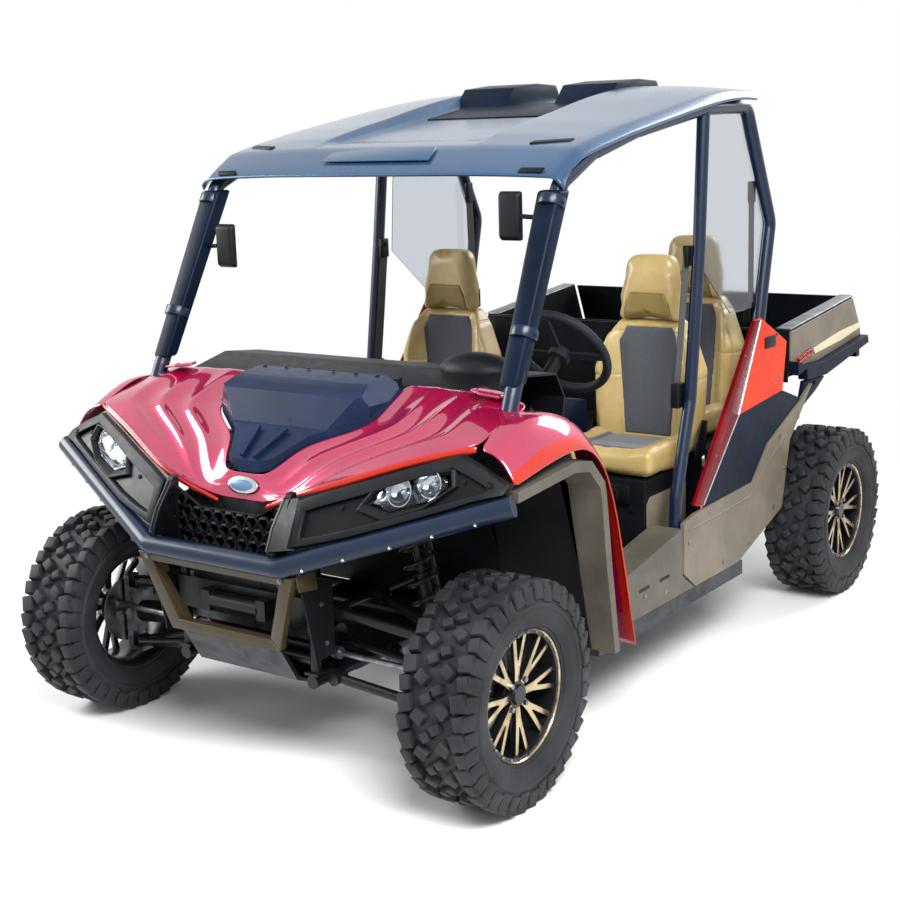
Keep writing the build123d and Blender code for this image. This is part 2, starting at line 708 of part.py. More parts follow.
def fender():
    """Painted wing over the arch, hollow as far as its rolled outer edge."""
    outer = loft_across([(x, top + arch_outer) for x, top in fender_rows])
    inner = []
    for reach, (x, top) in zip((-1, 0, -10), fender_rows):
        lowered = [(s + (skin if n == 0 else -skin if s > 420 else 0), z - (skin if s < 450 else 0))
                   for n, (s, z) in enumerate(top)]
        arch = [(s + skin * 0.9, z + (skin if s < 400 else 0)) for s, z in arch_outer]
        inner.append((x + reach, lowered + arch))
    return outer - loft_across(inner)


def flare():
    outer = [(s - 0.5, z - 0.5) for s, z in reversed(arch_outer)]
    band = side_prism(outer + list(reversed(arch_inner)), fender_inner + 2, 868)
    return band & front_prism([(700, 960), (868, 960), (868, 800), (840, 280), (700, 280)], -100, 700)


def liner():
    below = [(s - (skin if s > 300 else 0), z - (skin if s < 400 else 0)) for s, z in arch_inner]
    return side_prism(below + [(s - 0.4, z - 0.4) for s, z in reversed(arch_inner)], 470, fender_inner + 16)


fascia_rows = [
    # x, top (station, z), bottom (station, z) along the bumper tube
    (240, (-222, 870), (-296, 720.3)),
    (450, (-146, 932), (-239, 783.2)),
    (700, (-50, 1012), (-140, 863.2)),
    (862, (-46, 938), (-77, 914.6)),
]
lamp_plan = [(470, 868), (500, 915), (590, 945), (690, 960), (704, 925), (640, 880), (545, 852)]


def fascia_slab(front_gap, depth):
    sections = []
    for x, top, low in fascia_rows:
        sections.append((x, [(top[0] + front_gap, top[1]), (top[0] + front_gap + depth, top[1]),
                             (low[0] + front_gap + depth, low[1]), (low[0] + front_gap, low[1])]))
    return loft_across(sections)


def front_fascia():
    pocket = front_prism(lamp_plan, -260, 200)
    sides = pair(fascia_slab(0, 8) - pocket)
    tube_top = 720.0 + seat_gap
    blade = side_prism([(-211, 884), (-232, 882), (-326, 732), (-322, tube_top), (-262, tube_top),
                        (-214, 800)], 222, 244)
    return fused([*sides, *pair(blade), block((-250, 250), (-214, -204), (672, 686)),
                  *[block(sorted((way * 222, way * 250)), (-270, -204), (672, 760)) for way in (-1, 1)]])


def headlamp():
    """Lamp unit seated on the back of the fascia, a lip wider than its opening."""
    middle = [sum(p[i] for p in lamp_plan) / len(lamp_plan) for i in (0, 1)]
    lip = [tuple(m + (p - m) * 1.07 for p, m in zip(point, middle)) for point in lamp_plan]
    return fascia_slab(8 + seat_gap, 60) & front_prism(lip, -260, 200)


def grille():
    frame = front_prism([(-221.7, 687), (221.7, 687), (221.7, 862), (120, 806), (-120, 806),
                         (-221.7, 862)], -236, -224)
    pitch, size = 62.0, 30.0
    holes = []
    for row in range(4):
        for column in range(-3, 4):
            x = pitch * (column + (0.5 if row % 2 else 0))
            if abs(x) < 200 and (row < 3 or abs(x) > 160):
                cell = Plane(origin=at((x, -240, 712 + row * 36)),
                             z_dir=(0, 1, 0)) * RegularPolygon(size * 0.68, 6)
                holes.append(extrude(cell, amount=20))
    return frame.cut(*holes)


bumper_line = [(-878, -70, 888), (-258, 30 - front_overhang, 690), (258, 30 - front_overhang, 690),
               (878, -70, 888)]


def front_bumper():
    tube = bent_tube(bumper_line, 30, 60)
    struts = [rod((x, 34 - front_overhang, 686), (x, -198, 640), 15) for x in (-205, 205)]
    pads = [block((x - 30, x + 30), (-202, -194.3), (612, 668)) for x in (-205, 205)]
    return fused([tube, *struts, *pads])


def bumper_guard():
    outer, inner = [(-292, 662), (292, 662), (196, 424), (-196, 424)], [(-250, 640), (250, 640),
                                                                        (168, 456), (-168, 456)]
    ring = front_prism(outer, -340, -200) - front_prism(inner, -341, -199)
    return ring & side_prism([(-318, 659.6), (-292, 659.6), (-236, 424), (-262, 424)], -300, 300)


def nose_panel():
    """Moulded side of the nose under the bumper, on a tab at the front hoop, at the left."""
    side = side_prism([(-232, 416), (-285, 646), (-205, 646), (-142, 618), (-146, 400), (-230, 396)], 296,
                      302)
    tab = block((rail_x + rail_radius - 4 + seat_gap, 298), (front_hoop - 10, front_hoop + 10), (560, 580))
    return side.fuse(tab)


def storage_tub():
    outer = plan_prism(mirrored_plan([(116, -6), (222, 66), (222, 205)]),
                       tub_bar[1] + cross_radius + seat_gap, 1004)
    return outer - plan_prism(mirrored_plan([(113, -2), (218, 68), (218, 201)]),
                              tub_bar[1] + cross_radius + 4, 1010)


# ---- cab ----------------------------------------------------------------------------------------
def dashboard():
    outline = [(254, 1100), (268, 1112), (420, 1146), (585, 1128), (632, 1050), (610, 930), (560, 876.3),
               (470, 876.3)]
    inside = [(254, 1094), (268, 1106), (420, 1140), (582, 1122), (626, 1049), (605, 933), (557, 881.3),
              (470, 881.3)]
    shell = side_prism(outline + list(reversed(inside)), -612, 612)
    brackets = [block(sorted((way * 242, way * 256)), (242, 276), (1098, 1136)) for way in (-1, 1)]
    bores = [rod((way * 230, *lid_hinge), (way * 270, *lid_hinge), 5 + seat_gap) for way in (-1, 1)]
    return shell.fuse(*brackets).cut(*bores)


def bent_sheet(line, thickness, x0, x1):
    """Sheet along a side line of (station, z), thickened downwards and backwards."""
    face = Face(offset_wire(line, thickness, x0))
    return extrude(face, amount=x1 - x0, dir=(1, 0, 0))


def offset_wire(line, thickness, x):
    back = []
    for n, (s, z) in enumerate(line):
        before, after = line[max(n - 1, 0)], line[min(n + 1, len(line) - 1)]
        runs = [(b[0] - a[0], b[1] - a[1]) for a, b in ((before, (s, z)), ((s, z), after)) if a != b]
        normals = [(dz / math.hypot(ds, dz), -ds / math.hypot(ds, dz)) for ds, dz in runs]
        ns, nz = (sum(v[i] for v in normals) / len(normals) for i in (0, 1))
        grow = thickness / (ns * ns + nz * nz)
        back.append((s + ns * grow, z + nz * grow))
    return Wire.make_polygon([at((x, s, z)) for s, z in line + list(reversed(back))], close=True)


cab_half = 616.0


def cab_floor():
    line = [(478, 876), (492, 560), (604, floor_height), (1545, floor_height), (1562, deck_height),
            (2072, deck_height)]
    return bent_sheet(line, plate, -cab_half, cab_half)


def sill():
    foot = rocker_top + seat_gap
    outline = [(662, foot), (662, 428), (1165, 517), (1165, 350), (1258, foot)]
    cavity = [(600, 200), (600, 412), (1300, 536), (1300, 200)]
    return side_prism(outline, body_half - 120, body_half) - side_prism(cavity, body_half - 130,
                                                                        body_half - skin)


def rocker():
    return block((rocker_inner, body_half), (600, 1640), (236, rocker_top))


front_seat = (440.0, 1130.0, 670.0)
rear_seat = (365.0, 1600.0, deck_height + seat_gap)
seat_width = 420.0


def seat_box(place):
    x, s, z = place
    outer = block((x - 200, x + 170), (s + 10, s + 320), (floor_height + seat_gap, z - seat_gap))
    return outer - block((x - 196, x + 166), (s + 14, s + 316), (floor_height, z - 4.5))


def cushion(place):
    x, s, z = place
    outline = [(s, z), (s - 8, z + 66), (s + 24, z + 112), (s + 110, z + 118), (s + 329.6, z + 100),
               (s + 329.6, z)]
    return side_prism(outline, x - seat_width / 2, x + seat_width / 2)


def seat_back(place):
    """Bucket back with wing bolsters that narrow into the head restraint."""
    x, s, z = place
    side = [(s + 330, z + 20), (s + 336, z + 112), (s + 352, z + 330), (s + 354, z + 540),
            (s + 372, z + 720),
            (s + 396, z + 750), (s + 436, z + 736), (s + 446, z + 540), (s + 440, z + 330),
            (s + 416, z + 20)]
    half = [(195, z + 10), (222, z + 120), (225, z + 400), (150, z + 530), (116, z + 560), (84, z + 735),
            (66, z + 752)]
    outline = [(x + w, h) for w, h in half] + [(x - w, h) for w, h in reversed(half)]
    return side_prism(side, x - 240, x + 240) & front_prism(outline, s + 300, s + 500)


def rear_bulkhead():
    return block((-cab_half, cab_half), (2066, 2072), (deck_height + seat_gap, 1072))


scoop_top = [(1332, 556), (1598, 830), (1989, 862)]
scoop_low = [(1336, 551), (1725, 562), (1860, 682), (2170, 802)]


def quarter_panel():
    lip = [(s, z - seat_gap) for s, z in scoop_low]
    outline = [(1264, rocker_top + seat_gap), (1178, 352), (1176, 530), (1262, 548), *lip, (2262, 846),
               (2054, 658),
               (1988, 409), (1606, rocker_top + seat_gap)]
    return side_prism(outline, body_half - 15, body_half)


def quarter_insert():
    lip = [(s, z + seat_gap) for s, z in scoop_top]
    return side_prism([*lip, (2019, 1044), (1790, 1158), (1738, 1155), (1262, 575)], body_half - 15,
                      body_half - 4)


def quarter_scoop():
    """Recessed panel between the painted insert and the lower panel."""
    return side_prism([*scoop_top, *reversed(scoop_low)], body_half - 15, body_half - 8)


def quarter_window():
    outline = [(1466, 1883.5), (1762, 1883.2), (1988, 1484), (1914, 1180), (1700, 1180), (1424, 1400)]
    return side_prism(outline, 655, 659)


def mirror_head(side, x, s, z, reach):
    """Mirror inside one windscreen post on a stalk that ends at the cover."""
    stalk = rod((side * reach, s + 12, z + 75), (side * (x + 60), s + 12, z + 75), 8)
    return block(sorted((side * x, side * (x + 85))), (s, s + 24), (z, z + 150)).fuse(stalk)


# ---- cargo bed ----------------------------------------------------------------------------------
bed_half = body_half - 42
bed_front = 2136.0
bed_floor = bed_rail_height + 53
gate_pivot = (2874.0, bed_floor + 12)


def over_floor(outline):
    """Side outline from stations and heights over the bed's floor."""
    return [(s, bed_floor + height) for s, height in outline]


def cargo_bed():
    room_half = bed_half - 60
    tub = side_prism(over_floor([(bed_front, -4), (bed_front, 200), (2776, 262), (2860, 62), (2884, 32),
                                 (2884, -4)]),
                     6 - bed_half, bed_half - 6)
    room = side_prism(over_floor([(bed_front + 5, 0), (bed_front + 5, 332), (2900, 332), (2900, 0)]),
                      -room_half, room_half)
    mouth = block((-room_half, room_half), (2862, 2900), (bed_floor - 68, bed_floor + 332))
    wall = over_floor([(bed_front + 5, 190), (2766, 252), (2850, 57), (2850, -5), (bed_front + 5, -5)])
    hollow = [side_prism(wall, *sorted((way * (room_half + 5), way * (bed_half - 5)))) for way in (-1, 1)]
    rail_top = bed_rail_height + rail_radius - 4 + seat_gap
    under = [block((x - 20, x + 20), (2150, 2640),
                   (rail_top, bed_floor - 4)) for x in (-rear_rail_x, rear_rail_x)]
    s, z = bed_pivot
    lugs = [side_prism([(s - 16, bed_floor - 3), (s + 16, bed_floor - 3), (s + 17, z - 8), (s + 8, z - 17),
                        (s - 8, z - 17),
                        (s - 17, z - 8)], x - 12, x + 12) for x in (-rear_rail_x, rear_rail_x)]
    under += [lug - rod((-400, s, z), (400, s, z), 10 + seat_gap) for lug in lugs]
    gate_bore = rod((40 - bed_half, *gate_pivot), (bed_half - 40, *gate_pivot), 6 + seat_gap)
    return fused([tub - room - mouth, *under]).cut(*hollow, gate_bore)


def bed_side():
    outline = [(2142, 192), (2774, 254), (2862, 122), (2870, 90), (2400, 43), (2250, 50), (2145, 78)]
    return side_prism(over_floor(outline), bed_half - 6 + seat_gap, bed_half + 2)


def bed_fender():
    lip = [(2145, 78), (2250, 50), (2400, 43), (2870, 90)]
    outline = [(s, height - seat_gap) for s, height in lip] + [(2884, 57), (2430, -12), (2236, -6),
                                                               (2229, 40), (2145, 24)]
    return side_prism(over_floor(outline), bed_half - 6 + seat_gap, bed_half + 34)


def tail_lamp():
    outline = [(2196, 80), (2330, 104), (2342, 88), (2210, 64)]
    return side_prism(over_floor(outline), bed_half + 2 + seat_gap, bed_half + 12)


def tailgate():
    outline = [(2868, 6), (2880, 12), (2881, 62), (2800, 258), (2786, 258), (2867, 62)]
    panel = side_prism(over_floor(outline), 66 - bed_half, bed_half - 66)
    return panel.fuse(rod((46 - bed_half, *gate_pivot), (bed_half - 46, *gate_pivot), 6))


nodes["roll_cage"] = [roll_cage()]
nodes["roof_panel"] = [roof_panel()]
nodes["hood"] = [hood()]
nodes["hood_lid"] = [hood_lid()]
nodes["front_fenders"] = pair(fender())
nodes["front_flares"] = pair(flare())
nodes["arch_liners"] = pair(liner())
nodes["front_fascia"] = [front_fascia()]
nodes["headlamps"] = pair(headlamp())
nodes["grille"] = [grille()]
nodes["front_bumper"] = [front_bumper()]
nodes["bumper_guard"] = [bumper_guard()]
nodes["nose_panels"] = pair(nose_panel())
nodes["storage_tub"] = [storage_tub()]
nodes["dashboard"] = [dashboard()]
nodes["cab_floor"] = [cab_floor()]
nodes["side_sills"] = pair(sill())
nodes["rocker_rails"] = pair(rocker())
nodes["seat_boxes"] = pair(seat_box(front_seat))
nodes["seat_cushions"] = [*pair(cushion(front_seat)), cushion(rear_seat)]
nodes["seat_backs"] = [*pair(seat_back(front_seat)), seat_back(rear_seat)]
nodes["rear_bulkhead"] = [rear_bulkhead()]
nodes["quarter_panels"] = pair(quarter_panel())
nodes["quarter_inserts"] = pair(quarter_insert())
nodes["quarter_scoops"] = pair(quarter_scoop())
nodes["quarter_windows"] = pair(quarter_window())
nodes["pillar_covers"] = pair(pillar_cover())
nodes["mirrors"] = [mirror_head(1, 505.0, 432.0, 1535.0, 608.5),
                    mirror_head(-1, 515.0, 384.0, 1430.0, 613.0)]
nodes["cargo_bed"] = [cargo_bed()]
nodes["bed_sides"] = pair(bed_side())
nodes["bed_fenders"] = pair(bed_fender())
nodes["tail_lamps"] = pair(tail_lamp())
nodes["tailgate"] = [tailgate()]

for name, solids in nodes.items():
    shape = solids[0] if len(solids) == 1 else Compound(children=solids)
    export_step(shape, "parts/" + name + ".step")
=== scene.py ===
import math
import json

import bmesh
import bpy
from mathutils import Matrix, Vector


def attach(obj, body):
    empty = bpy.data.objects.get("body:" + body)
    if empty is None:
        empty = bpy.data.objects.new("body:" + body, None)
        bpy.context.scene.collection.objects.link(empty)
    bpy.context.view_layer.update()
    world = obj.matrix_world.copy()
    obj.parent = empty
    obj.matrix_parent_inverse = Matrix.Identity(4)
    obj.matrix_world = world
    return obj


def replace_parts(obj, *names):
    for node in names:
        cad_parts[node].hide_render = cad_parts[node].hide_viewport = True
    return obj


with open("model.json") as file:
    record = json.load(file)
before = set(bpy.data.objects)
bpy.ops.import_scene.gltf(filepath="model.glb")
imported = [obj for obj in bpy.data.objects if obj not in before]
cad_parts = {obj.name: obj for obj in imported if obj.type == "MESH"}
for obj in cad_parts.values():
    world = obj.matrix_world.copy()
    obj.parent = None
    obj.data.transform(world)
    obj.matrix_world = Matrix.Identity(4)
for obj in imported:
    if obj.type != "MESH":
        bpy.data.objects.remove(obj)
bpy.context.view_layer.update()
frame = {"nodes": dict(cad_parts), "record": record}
nodes = frame["nodes"]
scene = bpy.context.scene
print("frame loaded:", len(nodes), "nodes")

# in metres, as the frame is
vehicle = {"wheelbase": 2.340, "length": 3.235, "frontOverhang": 0.345, "tyreRadius": 0.330,
           "halfTrack": 0.765}
frontAxle = -vehicle["length"] / 2 + vehicle["frontOverhang"]
bothSides = ((1, "Left"), (-1, "Right"))


def spot(x, station, z):
    # millimetres from the middle, behind the front axle and above the ground, to metres in the frame
    return Vector((x / 1000, frontAxle + station / 1000, z / 1000))


# camera, floor and light
view = {"place": (3.045, -4.6065, 1.882), "yaw": 35.9546, "pitch": 12.0592, "roll": -1.8282, "lens": 61.18}


def aimCamera():
    yaw, pitch, roll = (math.radians(view[k]) for k in ("yaw", "pitch", "roll"))
    ahead = Vector((-math.sin(yaw) * math.cos(pitch), math.cos(yaw) * math.cos(pitch), -math.sin(pitch)))
    right = Vector((math.cos(yaw), math.sin(yaw), 0))
    up = right.cross(ahead)
    side = math.cos(roll) * right + math.sin(roll) * up
    top = -math.sin(roll) * right + math.cos(roll) * up
    data = bpy.data.cameras.new("camera")
    data.lens, data.sensor_width = view["lens"], 36.0
    data.clip_end = 60
    camera = bpy.data.objects.new("camera", data)
    camera.matrix_world = Matrix((side, top, -ahead)).transposed().to_4x4()
    camera.location = view["place"]
    scene.collection.objects.link(camera)
    scene.camera = camera


def linear(code):
    # sRGB hex to the linear values that sockets take
    parts = [int(code[i:i + 2], 16) / 255 for i in (1, 3, 5)]
    return [p / 12.92 if p <= 0.04045 else ((p + 0.055) / 1.055) ** 2.4 for p in parts] + [1.0]


def put(tree, kind, settings=None, links=None, **options):
    # adds one shader node: options are its own properties, settings its socket values
    made = tree.nodes.new(kind)
    for key, value in options.items():
        setattr(made, key, value)
    for key, value in (settings or {}).items():
        made.inputs[key].default_value = value
    for key, source in (links or {}).items():
        tree.links.new(source, made.inputs[key])
    return made


def reckon(tree, operation, *terms):
    # one sum on plain numbers and on what other nodes give
    made = put(tree, "ShaderNodeMath", operation=operation)
    for number, term in enumerate(terms):
        if isinstance(term, float):
            made.inputs[number].default_value = term
        else:
            tree.links.new(term, made.inputs[number])
    return made.outputs[0]


def addLamp(name, place, aim, size, power):
    data = bpy.data.lights.new(name, "AREA")
    data.shape, data.size, data.size_y = "RECTANGLE", *size
    data.energy = power
    lamp = bpy.data.objects.new(name, data)
    lamp.location = place
    lamp.rotation_euler = (Vector(aim) - Vector(place)).to_track_quat("-Z", "Y").to_euler()
    scene.collection.objects.link(lamp)


def eyeRays(tree):
    # 1 where a ray from the camera, off a gloss or through a lens meets the surface
    rays = put(tree, "ShaderNodeLightPath").outputs
    seen = reckon(tree, "MAXIMUM", rays["Is Camera Ray"], rays["Is Glossy Ray"])
    return reckon(tree, "MAXIMUM", seen, rays["Is Transmission Ray"])


studio = {"fill": 0.62, "floor": "#F2F2F0", "floorHalf": 14, "fadeStart": 1.7, "fadeEnd": 3.4}
lamps = [
    # name, place, what it faces, size, power
    ("keyLamp", (3.6, -3.4, 4.6), (0, -0.4, 0.7), (3.2, 2.2), 520),
    ("sideLamp", (-4.5, -2.5, 3.0), (0, -0.5, 0.8), (3.0, 2.4), 240),
    ("rearLamp", (1.5, 4.8, 3.8), (0, 0.5, 0.9), (3.5, 2.0), 170)]


def makeWorld():
    world = bpy.data.worlds.new("studio")
    world.use_nodes = True
    tree = world.node_tree
    tree.nodes.clear()
    dim = put(tree, "ShaderNodeBackground", {"Color": (0.93, 0.96, 1.0, 1), "Strength": studio["fill"]})
    white = put(tree, "ShaderNodeBackground", {"Color": (1, 1, 1, 1), "Strength": 1.0})
    mix = put(tree, "ShaderNodeMixShader", links={0: eyeRays(tree), 1: dim.outputs[0], 2: white.outputs[0]})
    put(tree, "ShaderNodeOutputWorld", links={"Surface": mix.outputs[0]})
    scene.world = world


def makeFloor():
    # matt paper that keeps the contact shadow and fades to white
    shape = bmesh.new()
    bmesh.ops.create_grid(shape, x_segments=1, y_segments=1, size=studio["floorHalf"])
    data = bpy.data.meshes.new("floor")
    shape.to_mesh(data)
    shape.free()
    floor = bpy.data.objects.new("floor", data)
    scene.collection.objects.link(floor)
    paper = bpy.data.materials.new("studio floor paper")
    paper.use_nodes = True
    tree = paper.node_tree
    shader = tree.nodes["Principled BSDF"]
    shader.inputs["Base Color"].default_value = linear(studio["floor"])
    shader.inputs["Roughness"].default_value = 0.9
    place = put(tree, "ShaderNodeTexCoord").outputs["Object"]
    reach = put(tree, "ShaderNodeVectorMath", links={0: place}, operation="LENGTH").outputs["Value"]
    fade = put(tree, "ShaderNodeMapRange", {"From Min": studio["fadeStart"], "From Max": studio["fadeEnd"]},
               {"Value": reach}).outputs[0]
    glow = put(tree, "ShaderNodeEmission", {"Color": (1, 1, 1, 1), "Strength": 1.0})
    mix = put(tree, "ShaderNodeMixShader", links={0: reckon(tree, "MULTIPLY", fade, eyeRays(tree)),
                                                  1: shader.outputs[0], 2: glow.outputs[0]})
    tree.links.new(mix.outputs[0], tree.nodes["Material Output"].inputs["Surface"])
    data.materials.append(paper)


aimCamera()
makeWorld()
for lamp in lamps:
    addLamp(*lamp)
makeFloor()
scene.view_settings.view_transform = "Standard"
print("camera, floor and lamps placed")


# materials: texture sizes are in millimetres, with Object coordinates in metres
def newMaterial(name):
    made = bpy.data.materials.new(name)
    made.use_nodes = True
    tree = made.node_tree
    return made, tree, put(tree, "ShaderNodeTexCoord").outputs["Object"]


def noise(tree, place, size, detail=2.0, rough=0.5):
    settings = {"Scale": 1000.0 / size, "Detail": detail, "Roughness": rough}
    return put(tree, "ShaderNodeTexNoise", settings, {"Vector": place}).outputs["Fac"]


def spread(tree, value, low, high, start=0.0, end=1.0):
    # value from start to end becomes low to high
    settings = {"From Min": start, "From Max": end, "To Min": low, "To Max": high}
    return put(tree, "ShaderNodeMapRange", settings, {"Value": value}).outputs[0]


def blend(tree, share, first, second):
    return put(tree, "ShaderNodeMix", {"A": linear(first), "B": linear(second)}, {"Factor": share},
               data_type="RGBA").outputs["Result"]


def raised(tree, height, strength, distance):
    return put(tree, "ShaderNodeBump", {"Strength": strength, "Distance": distance},
               {"Height": height}).outputs[0]


def finished(made, links, settings):
    # joins outputs to the surface shader and sets its plain values
    inputs = made.node_tree.nodes["Principled BSDF"].inputs
    for key, source in links.items():
        made.node_tree.links.new(source, inputs[key])
    for key, value in settings.items():
        inputs[key].default_value = value
    return made


def mouldedPlastic(name, tone, worn, rough=0.5, grain=1.6, relief=0.25, specular=0.22):
    # injection moulded panel: fine pebble grain, a slow drift of tone and duller, dusty patches
    made, tree, place = newMaterial(name)
    drift = spread(tree, noise(tree, place, 170, 4.0, 0.6), 0.0, 1.0, 0.38, 0.72)
    scuff = noise(tree, place, 28, 5.0)
    pebble = put(tree, "ShaderNodeTexVoronoi", {"Scale": 1000.0 / (grain * 2)}, {"Vector": place},
                 feature="SMOOTH_F1").outputs["Distance"]
    return finished(made, {"Base Color": blend(tree, drift, tone, worn),
                           "Roughness": spread(tree, scuff, rough - 0.09, rough + 0.12),
                           "Normal": raised(tree, pebble, relief, 0.0006)},
                    {"Specular IOR Level": specular})


def powderCoat(name, tone, lit, rough=0.38):
    # baked powder over steel tube: faint orange peel, lighter film on some runs
    made, tree, place = newMaterial(name)
    drift = noise(tree, place, 120, 3.0)
    return finished(made, {"Base Color": blend(tree, drift, tone, lit),
                           "Roughness": spread(tree, drift, rough - 0.06, rough + 0.1),
                           "Normal": raised(tree, noise(tree, place, 3.5), 0.12, 0.0008)},
                    {"Specular IOR Level": 0.3, "Coat Weight": 0.12, "Coat Roughness": 0.2})


def bareMetal(name, tone, dark, rough=0.3, metallic=1.0, streak=6.0):
    # cast or machined metal: fine turned streaks and darker handling marks
    made, tree, place = newMaterial(name)
    grime = spread(tree, noise(tree, place, 45, 6.0), 0.0, 1.0, 0.42, 0.7)
    lines = noise(tree, place, streak, 8.0, 0.7)
    return finished(made, {"Base Color": blend(tree, grime, tone, dark),
                           "Roughness": spread(tree, lines, rough - 0.08, rough + 0.14),
                           "Normal": raised(tree, lines, 0.1, 0.0005)},
                    {"Metallic": metallic})


def bodyPaint(name, deep, bright, flop, metallic=0.5, haze=0.04, film=1.5):
    # metallic base under clear lacquer: flake glitter, a slow drift of colour, a tinted flash at low angles
    made, tree, place = newMaterial(name)
    flake = put(tree, "ShaderNodeTexVoronoi", {"Scale": 1000.0 / 2.4}, {"Vector": place}).outputs["Color"]
    return finished(made, {"Base Color": blend(tree, noise(tree, place, 260), deep, bright),
                           "Roughness": spread(tree, flake, 0.24, 0.4),
                           "Coat Normal": raised(tree, noise(tree, place, 9, 1.0), 0.04, 0.0008)},
                    {"Specular Tint": linear(flop), "Metallic": metallic, "Coat Weight": 1.0,
                     "Coat IOR": film, "Coat Roughness": haze})


def clearLens(name, tone, rough=0.02):
    # polycarbonate lens: clear, thin, with a faint moulded ripple
    made, tree, place = newMaterial(name)
    ripple = put(tree, "ShaderNodeTexWave", {"Scale": 1000.0 / 40, "Distortion": 1.0},
                 {"Vector": place}).outputs["Fac"]
    return finished(made, {"Roughness": spread(tree, noise(tree, place, 60), rough, rough + 0.05),
                           "Normal": raised(tree, ripple, 0.05, 0.001)},
                    {"Base Color": linear(tone), "Transmission Weight": 1.0, "IOR": 1.3})


def wovenCover(name, thread, lit, pitch):
    # woven polyester: two sets of crossing threads that catch light in turn, with a soft nap
    made, tree, place = newMaterial(name)
    axes = put(tree, "ShaderNodeSeparateXYZ", links={0: place}).outputs
    threads = [reckon(tree, "SINE", reckon(tree, "MULTIPLY", axes[socket], 1000.0 / pitch * math.pi))
               for socket in ("X", "Z")]
    weave = reckon(tree, "MULTIPLY", *threads)
    nap = noise(tree, place, 14, 4.0)
    share = reckon(tree, "MULTIPLY_ADD", weave, 0.35, nap)
    return finished(made, {"Base Color": blend(tree, share, thread, lit),
                           "Roughness": spread(tree, nap, 0.72, 0.9),
                           "Normal": raised(tree, weave, 0.35, 0.0008)},
                    {"Sheen Weight": 0.25})


finish = {
    "blackPlastic": mouldedPlastic("moulded black polypropylene", "#07080B", "#101319", 0.46),
    # black moulded plastic; the blue in both of its tones is a painted sky reflection
    "navyPlastic": mouldedPlastic("moulded blue-black polypropylene", "#091220", "#101C30", 0.36,
                                  specular=0.07),
    # dark moulded lid; the blue in both of its tones is a painted sky reflection
    "lidPlastic": mouldedPlastic("dark moulded lid with painted sky-blue reflection", "#0C1930", "#152746", 0.3, specular=0.16),
    "fasciaPlastic": mouldedPlastic("charcoal moulded fascia", "#060709", "#0E1014", 0.34, specular=0.2),
    "tanPlastic": mouldedPlastic("moulded khaki polypropylene", "#635B4D", "#786E5E", 0.42, specular=0.4),
    "sillPlastic": mouldedPlastic("dark khaki moulded sill", "#4A463E", "#5E594F", 0.4, specular=0.3),
    "roofPlastic": bodyPaint("satin blue-grey roof lacquer", "#1E3A58", "#274868", "#A8C4E4", 0.15, 0.2,
                             1.42),
    "framePowder": powderCoat("satin black powder coat", "#050608", "#0D0F13"),
    # black powder coat; the blue in both of its tones is a painted sky reflection
    "cagePowder": powderCoat("black powder coat with painted sky-blue reflection", "#081428", "#102038", 0.28),
    "bronzePowder": powderCoat("bronze powder coat", "#2B2418", "#453A27", 0.3),
    "springSteel": powderCoat("dark bronze spring enamel", "#1E1A14", "#3A3020", 0.3),
    # red lacquer; the magenta-blue shift in both tones is a painted sky reflection on top of the real red
    "redPaint": bodyPaint("red lacquer with magenta shift as painted sky sheen", "#900436", "#B40C4E", "#F89CC0", film=1.9),
    "orangePaint": bodyPaint("orange-red lacquer", "#9E1204", "#B82408", "#F86A3C", 0.2),
    "rubber": mouldedPlastic("tyre tread rubber", "#15171B", "#2B2D31", 0.62, 2.6, 0.35, 0.3),
    "grip": mouldedPlastic("soft grip rubber", "#14171C", "#20242B", 0.6, 1.2),
    "vinyl": mouldedPlastic("tan grained vinyl", "#A8905A", "#BCA673", 0.3, 2.0, 0.3, 0.55),
    # tan vinyl darkened as painted shade of the headrest's lower recess
    "vinylPaintedRecessShade": mouldedPlastic("tan vinyl darkened as painted recess shade", "#7C683C", "#8C784A", 0.42, 2.0, 0.4),
    "backVinyl": mouldedPlastic("charcoal grained vinyl", "#22262D", "#2E333B", 0.5, 2.0, 0.4),
    "seatFabric": wovenCover("charcoal woven seat cover", "#34373E", "#484C55", 3.2),
    "webbing": wovenCover("black belt webbing", "#101114", "#1E2024", 5.0),
    "deepRed": mouldedPlastic("deep red moulded stripe", "#5A0208", "#7C0612", 0.28, 1.6, 0.05, 0.12),
    "insertPlastic": mouldedPlastic("orange-red moulded insert", "#C02808", "#D63C12", 0.28, 1.6, 0.05,
                                    0.12),
    "creamPaint": powderCoat("cream enamel", "#D9CDB0", "#C9BB98", 0.35),
    "railMetal": bareMetal("brushed grey rail", "#7C8087", "#54585F", 0.34, 0.9, 12.0),
    "alloy": bareMetal("machined bronze alloy", "#C4B190", "#8F7C5C", 0.22),
    "rimBlack": powderCoat("gloss black wheel enamel", "#0B0C0E", "#15171A", 0.24),
    "chrome": bareMetal("bright chrome plate", "#D4D7DB", "#B4B8BE", 0.1, 1.0, 30.0),
    "capEnamel": powderCoat("plain blue-grey enamel", "#44617C", "#5E7C96", 0.25),
    "steel": bareMetal("bare steel", "#8E9196", "#5B5D61", 0.32),
    "castAlloy": bareMetal("cast alloy housing", "#55585C", "#3C3E42", 0.45),
    "skidAlloy": bareMetal("scuffed plate", "#4A4C50", "#2F3136", 0.42),
    "lensClear": clearLens("clear lamp lens", "#F4F8FC"),
    "lensRed": clearLens("red lamp lens", "#D8141C", 0.08),
    "windowSheet": clearLens("light smoked window sheet", "#C8CED4", 0.05),
}
